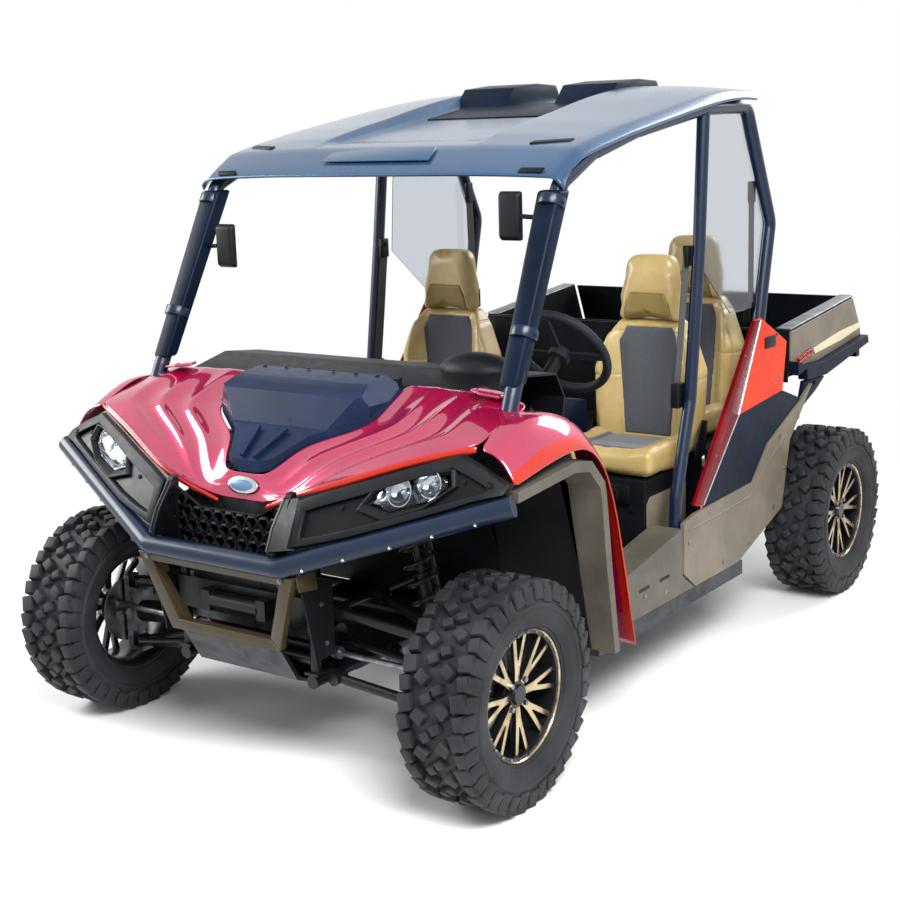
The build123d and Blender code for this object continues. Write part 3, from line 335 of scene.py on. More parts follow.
slotFinish = {
    "tyre_rubber": "rubber", "alloy": "alloy", "frame_black": "framePowder", "cage_navy": "cagePowder",
    "skid_grey": "skidAlloy", "engine_grey": "castAlloy", "spring_bronze": "springSteel", "steel": "steel",
    "red_paint": "redPaint", "orange_red": "orangePaint", "black_plastic": "blackPlastic",
    "navy_plastic": "navyPlastic", "tan_plastic": "tanPlastic", "roof_blue": "roofPlastic",
    "lamp_clear": "lensClear", "lamp_red": "lensRed", "window_grey": "windowSheet", "vinyl": "vinyl",
    "guard_bronze": "bronzePowder", "rail_grey": "skidAlloy", "grip": "grip",
}
slotOf = {row["node"]: row["material_slot"] for row in frame["record"]["subparts"]}
# the slot of each finish
lookSlot = {look: slot for slot, look in slotFinish.items()}
lookSlot.update(chrome="steel", railMetal="rail_grey", deepRed="red_paint", creamPaint="tan_plastic",
                lidPlastic="navy_plastic", fasciaPlastic="navy_plastic", capEnamel="navy_plastic",
                webbing="grip")
nodeEdges = {"weld": 0.00002, "flat": 0.6, "angle": 28, "normalWeight": 60}


def dressNode(name, look=None, width=1.5, segments=2):
    # rounds a CAD node's edges with modifiers and gives it a finish; the mesh itself stays as it is
    piece = nodes[name]
    piece.data.materials.clear()
    piece.data.materials.append(finish[look or slotFinish[slotOf[name]]])
    weld = piece.modifiers.new("weld", "WELD")
    weld.merge_threshold = nodeEdges["weld"]
    flat = piece.modifiers.new("flat", "DECIMATE")
    flat.decimate_type, flat.angle_limit = "DISSOLVE", math.radians(nodeEdges["flat"])
    bevel = piece.modifiers.new("bevel", "BEVEL")
    bevel.width, bevel.segments, bevel.angle_limit = width / 1000, segments, math.radians(nodeEdges["angle"])
    bevel.use_clamp_overlap = True
    normals = piece.modifiers.new("normals", "WEIGHTED_NORMAL")
    normals.weight = nodeEdges["normalWeight"]


for name in nodes:
    dressNode(name)
print("finishes given to the frame's nodes")


# building pieces: places in millimetres unless a note says otherwise
def closeShape(shape):
    bmesh.ops.remove_doubles(shape, verts=shape.verts, dist=0.00001)
    bmesh.ops.recalc_face_normals(shape, faces=shape.faces)


def roundEdges(shape, width, segments=2, angle=25):
    sharp = math.radians(angle)
    chosen = [e for e in shape.edges if len(e.link_faces) == 2 and e.calc_face_angle() > sharp]
    bmesh.ops.bevel(shape, geom=chosen, offset=width / 1000, segments=segments, profile=0.5, affect="EDGES",
                    material=-1, clamp_overlap=True)


def addPiece(name, shape, looks, body="chassis", sharp=30, wall=0, levels=0, soft=None):
    # turns a bmesh into a shaded object that rides on a body; soft is what roundEdges takes, done first
    looks = [looks] if isinstance(looks, str) else looks
    if soft:
        closeShape(shape)
        roundEdges(shape, *soft)
    data = bpy.data.meshes.new(name)
    shape.to_mesh(data)
    shape.free()
    piece = bpy.data.objects.new(name, data)
    scene.collection.objects.link(piece)
    for look in looks:
        data.materials.append(finish[look])
    if wall:
        thick = piece.modifiers.new("wall", "SOLIDIFY")
        thick.thickness, thick.offset = wall / 1000, -1
        thick.use_even_offset = True
    if levels:
        smooth = piece.modifiers.new("smooth", "SUBSURF")
        smooth.levels = smooth.render_levels = levels
    data.shade_smooth()
    data.set_sharp_from_angle(angle=math.radians(sharp))
    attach(piece, body)
    return piece


def mirrored(way, points):
    return [(way * x, s, z) for x, s, z in points]


def upright(x, outline):
    # points at one distance from the middle, from an outline of (station, z)
    return [(x, s, z) for s, z in outline]


def addBlock(shape, low, high):
    a, b = spot(*low), spot(*high)
    made = bmesh.ops.create_cube(shape, size=1.0)["verts"]
    bmesh.ops.scale(shape, vec=b - a, verts=made)
    bmesh.ops.translate(shape, vec=(a + b) / 2, verts=made)


def addCone(shape, sides, low, high, depth, matrix):
    # all in metres
    return bmesh.ops.create_cone(shape, cap_ends=True, cap_tris=False, segments=sides, radius1=low,
                                 radius2=high, depth=depth, matrix=matrix)["verts"]


def addRod(shape, start, end, radius, sides=20, taper=1.0):
    a, b = spot(*start), spot(*end)
    turn = (b - a).to_track_quat("Z", "Y").to_matrix().to_4x4()
    addCone(shape, sides, radius / 1000, radius * taper / 1000, (b - a).length,
            Matrix.Translation((a + b) / 2) @ turn)


def addRods(shape, places, radius, sides):
    for start, end in zip(places, places[1:]):
        addRod(shape, start, end, radius, sides)


def addPlate(shape, outline, shift):
    # closed plate from an outline, pushed along by a vector, all in metres
    face = shape.faces.new([shape.verts.new(p) for p in outline])
    made = bmesh.ops.extrude_face_region(shape, geom=[face])["geom"]
    bmesh.ops.translate(shape, vec=shift, verts=[g for g in made if isinstance(g, bmesh.types.BMVert)])


def addSlab(shape, outline, shift):
    # the same from (x, station, z) points
    addPlate(shape, [spot(*p) for p in outline], Vector(shift) / 1000)


def addTurned(shape, line, axis, steps, closed=False):
    # round form from a line of points in metres, turned about an axis through the origin
    ring = [shape.verts.new(p) for p in line]
    edges = [shape.edges.new(ends) for ends in zip(ring, ring[1:] + ring[:1] if closed else ring[1:])]
    bmesh.ops.spin(shape, geom=ring + edges, cent=(0, 0, 0), axis=axis, angle=2 * math.pi, steps=steps,
                   use_merge=True)
    closeShape(shape)


def addBall(shape, rings, radius, matrix):
    bmesh.ops.create_uvsphere(shape, u_segments=rings[0], v_segments=rings[1], radius=radius, matrix=matrix)


def addBolts(shape, places, way, radius=6.5, height=4.0):
    # washer and rounded hex head at each place, standing along a direction
    out = Vector(way).normalized() * 1000
    for place in places:
        step = [Vector(place) + out * k / 1000 for k in (-0.5, 1.4, height)]
        addRod(shape, step[0], step[1], radius * 1.45, 18)
        addRod(shape, step[1], step[2], radius, 6, 0.86)


def stamp(shape, template, matrix):
    # adds a copy of a template mesh, moved by a matrix
    count = len(shape.verts)
    shape.from_mesh(template)
    shape.verts.ensure_lookup_table()
    bmesh.ops.transform(shape, matrix=matrix, verts=shape.verts[count:])


def asTemplate(shape):
    data = bpy.data.meshes.new("template")
    shape.to_mesh(data)
    shape.free()
    return data


def cageSheet(rows, columnCrease=None, rowCrease=None):
    # open sheet of quads through rows of (x, station, z) points, creased along some columns and rows
    shape = bmesh.new()
    made = bmesh.ops.create_grid(shape, x_segments=len(rows[0]) - 1, y_segments=len(rows) - 1,
                                 size=1.0)["verts"]
    made.sort(key=lambda v: (round(v.co.y, 4), round(v.co.x, 4)))
    order = {vert: divmod(number, len(rows[0])) for number, vert in enumerate(made)}
    layer = shape.edges.layers.float.new("crease_edge")
    for edge in shape.edges:
        (rowA, columnA), (rowB, columnB) = (order[v] for v in edge.verts)
        if columnA == columnB:
            edge[layer] = (columnCrease or {}).get(columnA, 0)
        if rowA == rowB:
            edge[layer] = (rowCrease or {}).get(rowA, 0)
    for vert, point in zip(made, [p for row in rows for p in row]):
        vert.co = spot(*point)
    return shape


def creaseRim(shape, amount=1.0):
    layer = shape.edges.layers.float.get("crease_edge") or shape.edges.layers.float.new("crease_edge")
    for edge in shape.edges:
        if len(edge.link_faces) == 1:
            edge[layer] = amount


def faceWay(shape, axis, way):
    # turns the sheet over if its faces don't look that way
    if sum(f.normal[axis] for f in shape.faces) * way < 0:
        bmesh.ops.reverse_faces(shape, faces=shape.faces)


def bothHalves(half, station):
    # a row through both sides from (x, z) points that start in the middle
    return [(-x, station, z) for x, z in reversed(half[1:])] + [(x, station, z) for x, z in half]


# wheels
tyre = {"base": 308, "top": 329, "pitches": 19, "steps": 114}
rimLook = {"units": 8, "lipBolts": 24, "nuts": 4, "steps": 72}
trackHalf, wheelbase, wheelRadius = (round(vehicle[name] * 1000) for name in
                                     ("halfTrack", "wheelbase", "tyreRadius"))
wheelPlaces = {"front_left": (trackHalf, 0), "front_right": (-trackHalf, 0),
               "rear_left": (trackHalf, wheelbase), "rear_right": (-trackHalf, wheelbase)}
along = Matrix.Rotation(math.pi / 2, 4, "Y")


def lugTemplate(width, length, height, lean, taper, narrow=1.0):
    # one tread block, wider at its foot, standing on its own middle
    shape = bmesh.new()
    made = bmesh.ops.create_cube(shape, size=1.0)["verts"]
    for vert in made:
        if vert.co.z > 0:
            vert.co.x, vert.co.y = vert.co.x * taper, vert.co.y * taper
        if vert.co.x > 0:
            vert.co.y *= narrow
    bmesh.ops.scale(shape, vec=(width / 1000, length / 1000, height / 1000), verts=made)
    bmesh.ops.rotate(shape, matrix=Matrix.Rotation(math.radians(lean), 3, "Z"), verts=made)
    roundEdges(shape, 2.2, 2, 20)
    return asTemplate(shape)


def wheelTurn(step, count):
    return Matrix.Rotation(2 * math.pi * step / count, 4, "X")


def tyreMesh():
    half = [(0, 309), (62, 308), (92, 303), (105, 293), (111, 276), (113.5, 262), (116.4, 259), (116.4, 251),
            (113.5, 248), (112.5, 232), (108, 216), (101, 204), (99.5, 200), (96, 199), (93, 191),
            (86, 189.5)]
    shape = bmesh.new()
    line = [(-x, r) for x, r in reversed(half[1:])] + half
    addTurned(shape, [(x / 1000, 0, r / 1000) for x, r in line], (1, 0, 0), tyre["steps"])
    middle = (tyre["base"] + tyre["top"]) / 2 - 2
    height = tyre["top"] - tyre["base"] + 5
    blocks = [
        # template, x, station shift in pitches, radius of its middle
        (lugTemplate(46, 50, height, 14, 0.86, 1.12), 84, 0.0, middle - 1.5),
        (lugTemplate(34, 44, height, 14, 0.86, 1.1), 91, 0.5, middle - 2.5),
        (lugTemplate(44, 36, height, -34, 0.84), 38, 0.28, middle),
        (lugTemplate(34, 30, height, 28, 0.84), 16, 0.78, middle),
    ]
    shoulder = lugTemplate(12, 44, 46, 0, 0.92)
    for step in range(tyre["pitches"]):
        for way in (-1, 1):
            stagger = 0.25 if way < 0 else 0
            for template, x, shift, radius in blocks:
                place = wheelTurn(step + shift + stagger, tyre["pitches"])
                place = place @ Matrix.Translation((way * x / 1000, 0, radius / 1000))
                stamp(shape, template, place @ Matrix.Rotation(0 if way > 0 else math.pi, 4, "Z"))
            for shift, low in ((0.0, 0.289), (0.5, 0.297)):
                place = wheelTurn(step + shift + stagger, tyre["pitches"])
                place = place @ Matrix.Translation((way * 0.1065, 0, low))
                stamp(shape, shoulder, place @ Matrix.Rotation(way * math.radians(-12), 4, "Y"))
    bmesh.ops.recalc_face_normals(shape, faces=shape.faces)
    return asTemplate(shape)


def spokeTemplate():
    # one forked spoke: stem at the hub and two arms out to the lip, dished outwards
    shape = bmesh.new()
    half = [(11, 36), (13, 74), (34, 170), (19, 173), (1.8, 96)]
    outline = half + [(-t, r) for t, r in reversed(half)]
    addPlate(shape, [(0.046, t / 1000, r / 1000) for t, r in outline], (0.020, 0, 0))
    for vert in shape.verts:
        vert.co.x += max(vert.co.z - 0.05, 0) * 0.10
    closeShape(shape)
    roundEdges(shape, 1.6, 2, 30)
    return asTemplate(shape)


def rimMesh():
    shape = bmesh.new()
    barrel = [(90, 187.5), (88, 189), (80, 188.5), (72, 180), (40, 176), (-30, 176), (-76, 180),
              (-86, 188.5), (-89.5, 188), (-89.5, 184), (-76, 175), (-40, 168), (36, 168), (60, 171),
              (80, 172.5), (85, 174), (86, 176), (86, 184)]
    addTurned(shape, [(x / 1000, 0, r / 1000) for x, r in barrel], (1, 0, 0), rimLook["steps"], True)
    spoke = spokeTemplate()
    for step in range(rimLook["units"]):
        stamp(shape, spoke, wheelTurn(step, rimLook["units"]))
    # hub, its step and its cap
    for x, depth, low, high, sides in ((0.040, 0.030, 0.060, 0.056, 48), (0.061, 0.012, 0.040, 0.037, 48),
                                       (0.071, 0.010, 0.031, 0.027, 40)):
        addCone(shape, sides, low, high, depth, Matrix.Translation((x, 0, 0)) @ along)
    for step in range(rimLook["lipBolts"]):
        place = wheelTurn(step + 0.5, rimLook["lipBolts"]) @ Matrix.Translation((0.0872, 0, 0.1795))
        addCone(shape, 6, 0.0042, 0.0036, 0.005, place @ along)
    for face in shape.faces:
        # machined faces, bolt heads and the bright lip; all else is enamel
        middle = face.calc_center_median()
        reach = middle.yz.length
        face.material_index = 0 if face.normal.x > 0.55 and 0.036 < reach < 0.1705 else 1
        if 0.175 < reach < 0.184 and len(face.verts) in (4, 6) and middle.x > 0.0864:
            face.material_index = 2
        elif reach > 0.183 and face.normal.x > 0.3:
            face.material_index = 0
    for step in range(rimLook["nuts"]):
        place = wheelTurn(step + 0.5, rimLook["nuts"]) @ Matrix.Translation((0.062, 0, 0.048))
        nut = addCone(shape, 6, 0.0095, 0.008, 0.026, place @ along)
        for face in {f for v in nut for f in v.link_faces}:
            face.material_index = 2
    return asTemplate(shape)


wheelParts = [
    # kind, template, finishes
    ("tyre", tyreMesh(), ["rubber"]), ("rim", rimMesh(), ["alloy", "rimBlack", "steel"])]
for corner, (x, station) in wheelPlaces.items():
    place = Matrix.Translation(spot(x, station, wheelRadius))
    place = place @ Matrix.Rotation(0 if x > 0 else math.pi, 4, "Z")
    for kind, template, looks in wheelParts:
        shape = bmesh.new()
        stamp(shape, template, place)
        piece = addPiece(kind + corner.title().replace("_", ""), shape, looks, "wheel_" + corner, 34)
        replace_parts(piece, kind + "_" + corner)
print("wheels made")


# hood and wings
hood = {"wall": 4.0, "flute": 17, "lipDrop": 19, "waves": (0, -0.9, 0.35, -1.0, 0.35, -0.8, 0.3, 0.1, 0)}
hoodColumns = (0, 120, 262, 380, 520, 650, 750)
hoodHeights = [
    # station, then the height at each column
    (-216, (700, 720, 890, 905, 915, 925, 930)), (-178, (814, 826, 900, 924, 940, 955, 955)),
    (-150, (925, 925, 915, 936, 960, 975, 970)), (-40, (975, 982, 985, 1003, 1022, 1033, 1024)),
    (90, (1030, 1036, 1046, 1060, 1080, 1088, 1066)), (240, (1078, 1088, 1126, 1126, 1122, 1118, 1094))]
hoodPaths = [
    # inner point round the lid and outer point along the lip, then how deep the flutes are there
    ((0, -156), (0, -174), 0), ((50, -156), (95, -178), 0.1), ((91, -155), (262, -214), 0.2),
    ((126, -92), (400, -163), 0.6), ((157, -42), (540, -109), 0.9), ((228, 4), (700, -48), 1.0),
    ((307, 56), (738, -28), 1.0), ((307, 120), (739, 60), 0.8), ((307, 185), (740, 150), 0.5),
    ((307, 238), (740, 238), 0.15)]


def between(table, value):
    # index and share of the step that a value falls in
    for number in range(len(table) - 1):
        if value <= table[number + 1] or number == len(table) - 2:
            return number, max(0, min(1, (value - table[number]) / (table[number + 1] - table[number])))


def hoodHeight(x, station):
    row, u = between([r[0] for r in hoodHeights], station)
    column, v = between(hoodColumns, abs(x))
    low, high = hoodHeights[row][1], hoodHeights[row + 1][1]
    near = low[column] * (1 - v) + low[column + 1] * v
    far = high[column] * (1 - v) + high[column + 1] * v
    return near * (1 - u) + far * u


def hoodRow(inner, outer, depth, way):
    row = []
    for step, wave in enumerate(hood["waves"]):
        v = step / (len(hood["waves"]) - 1)
        x, s = (inner[i] * (1 - v) + outer[i] * v for i in (0, 1))
        row.append((way * x, s, hoodHeight(x, s) + hood["flute"] * wave * depth))
    return row


shape = bmesh.new()
for way in (-1, 1):
    rows = [hoodRow(inner, outer, depth, way) for inner, outer, depth in hoodPaths]
    stamp(shape, asTemplate(cageSheet(rows, {2: 0.5, 4: 0.5, 6: 0.4})), Matrix.Identity(4))
bmesh.ops.remove_doubles(shape, verts=shape.verts, dist=0.0005)
bmesh.ops.recalc_face_normals(shape, faces=shape.faces)
faceWay(shape, 2, 1)
creaseRim(shape)
piece = addPiece("hoodSkin", shape, "redPaint", sharp=180, wall=hood["wall"], levels=3)
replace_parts(piece, "hood")

for way, side in bothSides:
    # orange lip hanging under the painted edge
    path = [p[1] for p in hoodPaths[1:7]]
    rows = []
    for push, drop in ((3, 2), (-3, 5), (-5, 12), (-1, hood["lipDrop"])):
        rows.append([(way * x, s + push, hoodHeight(x, s) - drop) for x, s in path])
    shape = cageSheet(rows)
    creaseRim(shape, 0.6)
    addPiece("hoodLip" + side, shape, "orangePaint", sharp=180, wall=3, levels=2)
    # painted ear over the post's foot
    shape = bmesh.new()
    addSlab(shape, mirrored(way, [(560, 200, 1128), (610, 176, 1124), (668, 186, 1116), (664, 238, 1116),
                                  (575, 244, 1130)]), (0, 0, 9))
    closeShape(shape)
    roundEdges(shape, 3, 3)
    addBolts(shape, [(way * 628, 212, 1130)], (0, 0.02, 1), 5, 3)
    addPiece("hoodEar" + side, shape, "redPaint")

fender = {"wall": 4.0, "orangeFrom": 0.85, "orangeBack": (0.836, 0.42)}
fenderRows = [
    # distance from the middle, then the outline from the front top round to the bottom
    (742, [(-28, 1018), (60, 1066), (157, 1098), (330, 1068), (430, 1000), (505, 860), (560, 640), (612, 400),
           (640, 290)]),
    (775, [(-29, 1016), (60, 1064), (157, 1098), (330, 1068), (430, 1000), (505, 860), (560, 640), (611, 400),
           (639, 290)]),
    (802, [(-30, 1006), (60, 1052), (157, 1088), (330, 1060), (428, 992), (503, 856), (558, 640), (610, 400),
           (638, 290)]),
    (828, [(-32, 985), (58, 1022), (154, 1052), (326, 1040), (422, 974), (499, 849), (554, 640), (606, 400),
           (634, 290)]),
    (848, [(-34, 958), (58, 985), (152, 1008), (320, 1010), (416, 955), (494, 842), (550, 640), (602, 400),
           (630, 290)]),
    (858, [(-34, 944), (58, 964), (150, 984), (312, 992), (406, 946), (488, 836), (545, 635), (598, 400),
           (626, 290)]),
    (862, [(-34, 930), (58, 948), (150, 962), (305, 978), (398, 940), (482, 830), (540, 630), (594, 400),
           (622, 290)])]
for way, side in bothSides:
    shape = cageSheet([upright(way * x, line) for x, line in fenderRows])
    if way > 0:
        bmesh.ops.reverse_faces(shape, faces=shape.faces)
    creaseRim(shape)
    leastOut, leastBack = fender["orangeBack"]
    for face in shape.faces:
        middle = face.calc_center_median()
        out, back = abs(middle.x), middle.y - spot(0, 0, 0).y
        orange = out > fender["orangeFrom"] or (out > leastOut and back > leastBack)
        face.material_index = 1 if orange else 0
    piece = addPiece("fender" + side, shape, ["redPaint", "orangePaint"], sharp=180,
                     wall=fender["wall"], levels=3)
    if way > 0:
        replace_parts(piece, "front_fenders")
dressNode("hood_lid", "lidPlastic", 6, 3)
dressNode("front_flares", "sillPlastic", 6, 3)
dressNode("front_fascia", "fasciaPlastic", 3)
shape = bmesh.new()
addBolts(shape, [(x, s, z) for x, s, z in ((-225, 196, 1152), (-140, 200, 1154), (-50, 202, 1155),
                                           (50, 202, 1155), (140, 200, 1154), (225, 196, 1152))],
         (0, -0.1, 1), 5, 3)
for way in (-1, 1):
    # raised flute along the lid's wedge nose
    addSlab(shape, mirrored(way, [(18, -140, 946), (30, -141, 946), (64, -30, 1011), (44, -30, 1011)]),
            (0, -4, 8))
closeShape(shape)
addPiece("lidDetail", shape, "lidPlastic", "front_lid")
print("hood and wings made")


# nose: bezels, lamps and grille
nose = {"bezel": 16, "wall": 44, "pitch": 43.5, "rise": 37.6, "cell": 25.2}
lampOutline = [(470, 868), (500, 915), (590, 945), (690, 960), (704, 925), (640, 880), (545, 852)]
fasciaRows = [
    # distance from the middle, then (station, z) of the top and of the bottom
    (240, (-222, 870), (-296, 720.3)), (450, (-146, 932), (-239, 783.2)), (700, (-50, 1012), (-140, 863.2)),
    (862, (-46, 938), (-77, 914.6))]


def fasciaFace(x, z):
    # station of the fascia's face
    number, t = between([row[0] for row in fasciaRows], x)
    top = [a * (1 - t) + b * t for a, b in zip(fasciaRows[number][1], fasciaRows[number + 1][1])]
    low = [a * (1 - t) + b * t for a, b in zip(fasciaRows[number][2], fasciaRows[number + 1][2])]
    return low[0] + (z - low[1]) / (top[1] - low[1]) * (top[0] - low[0])


def addLoops(shape, loops, capEnd=False):
    # joins rings of (x, station, z) points in order
    rings = []
    for loop in loops:
        verts = [shape.verts.new(spot(*p)) for p in loop]
        rings.append([shape.edges.new(ends) for ends in zip(verts, verts[1:] + verts[:1])])
    for near, far in zip(rings, rings[1:]):
        bmesh.ops.bridge_loops(shape, edges=near + far)
    if capEnd:
        bmesh.ops.contextual_create(shape, geom=rings[-1])


def faceRing(way, outline, depth):
    # an outline of (x, z) points laid on the fascia's face
    return [(way * x, fasciaFace(x, z) + depth, z) for x, z in outline]


def lampRings(way, rings):
    # the lamp's outline, scaled about its middle, at each depth; larger rings also grow taller
    middle = [sum(p[i] for p in lampOutline) / len(lampOutline) for i in (0, 1)]
    made = []
    for scale, depth in rings:
        tall = scale if scale < 1.05 else scale * 1.12
        made.append(faceRing(way, [(middle[0] + (x - middle[0]) * scale, middle[1] + (z - middle[1]) * tall)
                                   for x, z in lampOutline], depth))
    return made


for way, side in bothSides:
    shape = bmesh.new()
    addLoops(shape, lampRings(way, [(1.17, 0.5), (1.14, -nose["bezel"]), (1.07, -nose["bezel"] - 2),
                                    (0.99, -2), (0.96, nose["wall"])]), True)
    closeShape(shape)
    roundEdges(shape, 3, 2, 20)
    addBolts(shape, [(way * 735, fasciaFace(735, 942) - 4, 942), (way * 400, fasciaFace(400, 856) - 2, 856)],
             (0, -1, 0.5), 5, 4)
    addPiece("lampBezel" + side, shape, "blackPlastic", sharp=35)
    shape = bmesh.new()
    addLoops(shape, lampRings(way, [(0.95, 3), (0.88, nose["wall"] - 20), (0.80, nose["wall"] - 8)]), True)
    for x, z, radius in ((552, 898, 40), (634, 922, 37)):
        # reflector bowl with its bulb, facing forwards
        bowl = [(0, 3), (6, 2), (radius * 0.45, 6), (radius * 0.75, 14), (radius * 0.95, 26), (radius, 34),
                (radius + 3, 34)]
        cup = bmesh.new()
        addTurned(cup, [(r / 1000, 0, d / 1000) for r, d in bowl], (0, 0, 1), 32)
        addBall(cup, (16, 10), 0.008, Matrix.Translation((0, 0, 0.012)))
        aim = Vector((0, -1, 0.25)).to_track_quat("Z", "Y").to_matrix().to_4x4()
        stamp(shape, asTemplate(cup), Matrix.Translation(spot(way * x, fasciaFace(x, z) + 40, z)) @ aim)
    addPiece("lampReflector" + side, shape, "chrome", sharp=60)
    shape = bmesh.new()
    addLoops(shape, lampRings(way, [(0.965, 6), (0.80, -1), (0.35, -4)]), True)
    closeShape(shape)
    faceWay(shape, 1, -1)
    piece = addPiece("lampLens" + side, shape, "lensClear", sharp=180, wall=2)
    if way > 0:
        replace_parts(piece, "headlamps")

shape = bmesh.new()
grilleFace = [(-220, 689), (220, 689), (220, 858), (120, 804), (-120, 804), (-220, 858)]
addLoops(shape, [[(x * k, s, 760 + (z - 760) * k) for x, z in grilleFace] for k, s in
                 ((1.0, -225), (1.0, -236), (0.95, -236), (0.95, -225), (1.0, -225))])
cell = bmesh.new()
for radius, depth in ((nose["cell"], 0), (nose["cell"], 14), (19, 16), (17, 0), (nose["cell"], 0)):
    bmesh.ops.create_circle(cell, cap_ends=False, segments=6, radius=radius / 1000,
                            matrix=Matrix.Translation((0, 0, depth / 1000)))
cell.verts.ensure_lookup_table()
cell.edges.ensure_lookup_table()
for ring in range(4):
    bmesh.ops.bridge_loops(cell, edges=cell.edges[ring * 6:ring * 6 + 12])
closeShape(cell)
roundEdges(cell, 2.4, 2, 30)
cellMesh = asTemplate(cell)
facing = Matrix.Rotation(math.pi / 2, 4, "X") @ Matrix.Rotation(math.pi / 6, 4, "Z")
for row in range(5):
    for column in range(-5, 6):
        x, z = nose["pitch"] * (column + (0.5 if row % 2 else 0)), 706 + nose["rise"] * row
        if abs(x) < 200 and z < 800 + max(abs(x) - 120, 0) * 0.5:
            stamp(shape, cellMesh, Matrix.Translation(spot(x, -222 + abs(x) * 0.02, z)) @ facing)
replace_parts(addPiece("grilleMesh", shape, "blackPlastic"), "grille")

# bronze brackets from the bumper tube down to the guard
shape = bmesh.new()
bracket = [(-338, 706), (-300, 712), (-286, 664), (-262, 600), (-280, 596), (-322, 662)]
for way in (-1, 1):
    for x in (232, 262):
        addSlab(shape, upright(way * x, bracket), (way * 5, 0, 0))
addPiece("guardBrackets", shape, "bronzePowder", soft=(1.2, 2, 30))
for name, size, look in (("capRim", (59, 9, 27), "chrome"), ("capFace", (51, 12, 21), "capEnamel")):
    shape = bmesh.new()
    place = Matrix.Translation(spot(0, -171, 868)) @ Matrix.Rotation(math.radians(-20), 4, "X")
    addBall(shape, (40, 20), 0.001, place @ Matrix.Diagonal((*size, 1)))
    addPiece(name, shape, look, sharp=60)

# raised brow that frames each lamp bay, and the wide fins beside the grille
browOuter = [(268, 742), (266, 868), (352, 897), (450, 928), (575, 968), (700, 1006), (790, 972), (858, 936),
             (858, 918), (780, 898), (700, 869), (575, 828), (450, 788), (352, 762)]
browInner = [(300, 772), (298, 842), (362, 864), (452, 892), (575, 935), (698, 976), (770, 948), (812, 930),
             (800, 922), (770, 912), (696, 888), (575, 850), (452, 812), (362, 786)]
for way, side in bothSides:
    shape = bmesh.new()
    addLoops(shape, [faceRing(way, outline, depth) for outline, depth in
                     ((browOuter, 0.5), (browOuter, -15), (browInner, -18), (browInner, 0.5))])
    closeShape(shape)
    roundEdges(shape, 5, 3, 35)
    addBolts(shape, [(way * 812, fasciaFace(812, 938) - 17, 938)], (way * 0.1, -0.9, 0.4), 8, 5)
    addPiece("lampBrow" + side, shape, "blackPlastic", sharp=40)
    shape = bmesh.new()
    loops = []
    for z, front, wide in ((738, -330, 66), (800, -300, 60), (872, -243, 44)):
        back = fasciaFace(330, z) + 2
        loops.append(mirrored(way, [(219, front, z), (232, front - 5, z), (219 + wide, back - 8, z),
                                    (226 + wide, back, z), (219, front + 30, z)]))
    addLoops(shape, loops, True)
    addPiece("grilleFin" + side, shape, "fasciaPlastic", sharp=40, soft=(4, 3, 30))

dressNode("front_bumper", width=2)
dressNode("bumper_guard", width=7, segments=3)
# wider cheeks and a lower bar that thicken the guard
shape = bmesh.new()
for way in (-1, 1):
    addSlab(shape, mirrored(way, [(262, -318, 664), (304, -318, 664), (214, -286, 428), (178, -286, 452)]),
            (0, 26, 4))
    addSlab(shape, mirrored(way, [(304, -305, 668), (306, -225, 668), (306, -215, 610), (304, -292, 620)]),
            (way * 4, 0, 0))
addSlab(shape, [(-214, -288, 430), (214, -288, 430), (182, -290, 462), (-182, -290, 462)], (0, 30, 0))
addPiece("guardCheeks", shape, "bronzePowder", sharp=40, soft=(5, 3, 30))
shape = bmesh.new()
for way in (-1, 1):
    for share in (0.12, 0.3, 0.5, 0.68, 0.86):
        # along the bumper tube's lower side
        x, s, z = 258 + 620 * share, -315 + 245 * share, 690 + 198 * share
        addBolts(shape, [(way * x, s - 22, z - 22)], (way * 0.25, -0.75, -0.75), 6, 5)
    addBolts(shape, mirrored(way, [(262, -322, 655), (200, -262, 440), (266, -200, 640), (262, -205, 480)]),
             (0, -1, 0.1), 6, 5)
    addBolts(shape, mirrored(way, [(302.5, -196, 560), (302.5, -180, 440)]), (way, 0, 0), 6, 4)
closeShape(shape)
addPiece("noseBolts", shape, "steel")
print("nose, lamps and grille made")


# roof
roof = {"wall": 6, "liningWall": 3, "liningGap": 12}
roofRows = [
    # station, height in the middle, at the side, of the lower edge, depth of the recess, height of the pods
    (461, 1730, 1722, 1708, 0, 0), (500, 1762, 1752, 1727, 0, 0), (584, 1812, 1802, 1768, 0, 0),
    (660, 1830, 1821, 1786, 2, 2), (700, 1838, 1829, 1794, 12, 6), (880, 1872, 1863, 1827, 16, 9),
    (1042, 1898, 1889, 1853, 20, 10), (1200, 1921, 1913, 1877, 20, 22), (1440, 1957, 1950, 1914, 20, 24),
    (1640, 1974, 1968, 1932, 20, 20), (1760, 1972, 1964, 1928, 12, 8), (1790, 1970, 1962, 1926, 8, 6)]
roofCrease = {2: 0.5, 3: 0.8, 4: 0.8, 5: 0.4, 7: 0.5, 9: 0.5}
skin, lining = [], []
for station, middle, side, edge, recess, pod in roofRows:
    skin.append(bothHalves([
        (0, middle - recess), (160, middle - recess), (285, middle - recess), (300, middle - recess),
        (330, middle + pod), (345, middle + pod), (540, side + 6 + 0.7 * pod), (680, side), (700, side - 8),
        (714, side - 26), (714, edge)], station))
    inner = middle - recess - roof["liningGap"]
    lining.append(bothHalves([(0, inner), (290, inner), (540, side - 10), (680, side - 14), (698, edge + 6)],
                             station))
shape = cageSheet(skin, {10 + way * k: v for way in (-1, 1) for k, v in roofCrease.items()},
                  {2: 0.8, 4: 0.8, 5: 0.5})
faceWay(shape, 2, 1)
creaseRim(shape)
piece = addPiece("roofSkin", shape, "roofPlastic", sharp=180, wall=roof["wall"], levels=2)
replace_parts(piece, "roof_panel")
